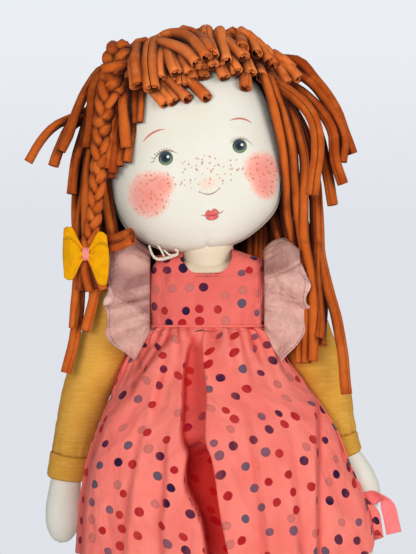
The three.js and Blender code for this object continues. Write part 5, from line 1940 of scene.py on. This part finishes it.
# %% Legs
LEG = [(8, 8), (14, 10.2), (30, 10.4), (60, 11.2), (105, 13.2), (130, 13), (160, 14), (205, 15.6), (233, 15.9),
       (241, 12.6), (245.5, 7), (247.2, 2)]
LEG_LOW, LEG_TOP, LEG_RINGS = 8, 247.2, 90
FOOT_BACK, FOOT_HEIGHT = -10, 15.9
for name, x in HIP.items():
    heights = [LEG_TOP - (LEG_TOP - LEG_LOW) * i / LEG_RINGS for i in range(LEG_RINGS + 1)]
    leg_bm = draw_along(circle(1, 36), [at(x, 0, z) for z in heights], Vector((0, -1, 0)),
                        size=lambda t: read(LEG, LEG_TOP - (LEG_TOP - LEG_LOW) * t), closed=True, caps=True)
    for vertex in leg_bm.verts:
        px, py, pz = (vertex.co - MIDDLE) / MM
        knee = 0.5 * bell(pz - 116, 6)
        out = Vector((px - x, py, 0)).normalized()
        vertex.co += out * (0.4 * ripple(px, py, pz, 18) - knee) * MM
    foot = bmesh.new()
    bmesh.ops.create_uvsphere(foot, u_segments=36, v_segments=20, radius=1)
    for vertex in foot.verts:
        vx, vy, vz = vertex.co
        vertex.co = at(x + 11.0 * vx, FOOT_BACK + 25.4 * vy, FOOT_HEIGHT + 10.6 * vz)
    leg = finish_piece(f"leg_{name}", gather([leg_bm, foot]), calico)
    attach(leg, f"leg_{name}")
    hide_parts(f"leg_{name}_skin", f"leg_{name}_stuffing")
    print(leg.name, "has", len(leg.data.polygons), "faces")

# %% [markdown]
# A felt shoe is sewn round the foot like a pouch. Its shape is a ball, squared towards the sole. It is cut flat over
# the sole, and open at the top behind the toe cap.

# %% Shoes
SOLE_TOP, SHOE_OPENING, TOE_CAP = 3.3, 19.5, -24
felt = dyed("brown_felt", (128, 78, 46), (110, 64, 36), 0.7, 4, (0.35, 0.6), 4, ((0.9, 3, 0.3),), rough=0.95).done()
for name, x in HIP.items():
    shoe = bmesh.new()
    bmesh.ops.create_uvsphere(shoe, u_segments=56, v_segments=36, radius=1)
    for vertex in shoe.verts:
        vx, vy, vz = vertex.co
        toe = 1 + 0.08 * smoothstep(-vy, 0.2, 1.0)
        flat = math.hypot(vx, vy)
        if vz < 0 and flat > 0:
            toe *= (1 - abs(vz) ** 6) ** (1 / 6) / flat
        vertex.co = at(x + 13.1 * vx * toe, FOOT_BACK + 27.6 * vy * toe, FOOT_HEIGHT + 14 * vz)
    for spot, normal, clear in ((at(0, 0, SOLE_TOP), (0, 0, -1), True), (at(0, 0, SHOE_OPENING), (0, 0.1, 1), False),
                                (at(0, TOE_CAP, SHOE_OPENING), (0, 1, 0.4), False)):
        cut(shoe, spot, normal, clear)
    open_top = []
    for face in shoe.faces:
        _, fy, fz = (face.calc_center_median() - MIDDLE) / MM
        if fz + 0.1 * fy > SHOE_OPENING and fy - TOE_CAP + 0.4 * (fz - SHOE_OPENING) > 0:
            open_top.append(face)
    bmesh.ops.delete(shoe, geom=open_top, context="FACES")
    upper = thicken(finish_piece(f"shoe_{name}", shoe, felt), 1.5, -1)
    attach(upper, f"leg_{name}")
    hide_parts(f"shoe_{name}_upper")
    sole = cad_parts[f"shoe_{name}_sole"]
    sole.data.materials.clear()
    sole.data.materials.append(felt)
    print(upper.name, "has", len(upper.data.polygons), "faces, and its sole stays the frame's own")

# %% [markdown]
# Two shell buttons close the bodice. Each is a low cylinder with its face sunk and its rim rounded, and four short
# stitches of cream thread hold it.

# %% Buttons
shell = dyed("shell", (244, 236, 220), (228, 214, 194), 0.6, 3, (0.35, 0.6), rough=0.3, sheen=0.0).done()
for name, z in (("lower", 331.0), ("upper", 344.0)):
    disc = bmesh.new()
    bmesh.ops.create_cone(disc, cap_ends=True, segments=32, radius1=4 * MM, radius2=4 * MM, depth=2 * MM)
    top = [f for f in disc.faces if f.normal.z > 0.9]
    bmesh.ops.inset_individual(disc, faces=top, thickness=0.9 * MM, depth=-0.4 * MM)
    rim = [e for e in disc.edges if e.calc_face_angle(0) > 0.8]
    bmesh.ops.bevel(disc, geom=rim, offset=0.3 * MM, segments=2, profile=0.5, affect="EDGES", material=-1)
    upright = Matrix.Translation(at(0, 24.7, z)) @ Matrix.Rotation(math.radians(-90), 4, "X")
    bmesh.ops.transform(disc, matrix=upright, verts=disc.verts)
    threads = []
    for dx, dz in ((-1, -1), (1, -1), (-1, 1), (1, 1)):
        line = [at(dx, 25.0, z + dz), at(dx, 25.6, z + dz)]
        threads.append(draw_along(circle(0.5, 10), line, Vector((0, 0, 1)), closed=True, caps=True))
    button = finish_piece(f"button_{name}", disc, shell, smooth=False)
    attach(button, "torso")
    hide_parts(f"back_button_{name}")
    button_thread = finish_piece(f"button_thread_{name}", gather(threads), cream_cord)
    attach(button_thread, "torso")
    print(button.name, "lies", round(z - WAIST), "mm above the waist")

# %% [markdown]
# ## The floor
# The doll stands on a plain pale sheet of paper. It is staged, so it is in the picture but not a piece of the doll.

# %% The floor
floor_paint = dyed("floor_paper", (226, 230, 238), (224, 228, 237), 0.5, 300, (0.3, 0.7), 2, rough=0.95, sheen=0.0)
floor_bm = bmesh.new()
bmesh.ops.create_circle(floor_bm, cap_ends=True, segments=96, radius=1.05)
finish_piece("floor", floor_bm, floor_paint.done())
print("the floor is drawn in", floor_paint.material.name)
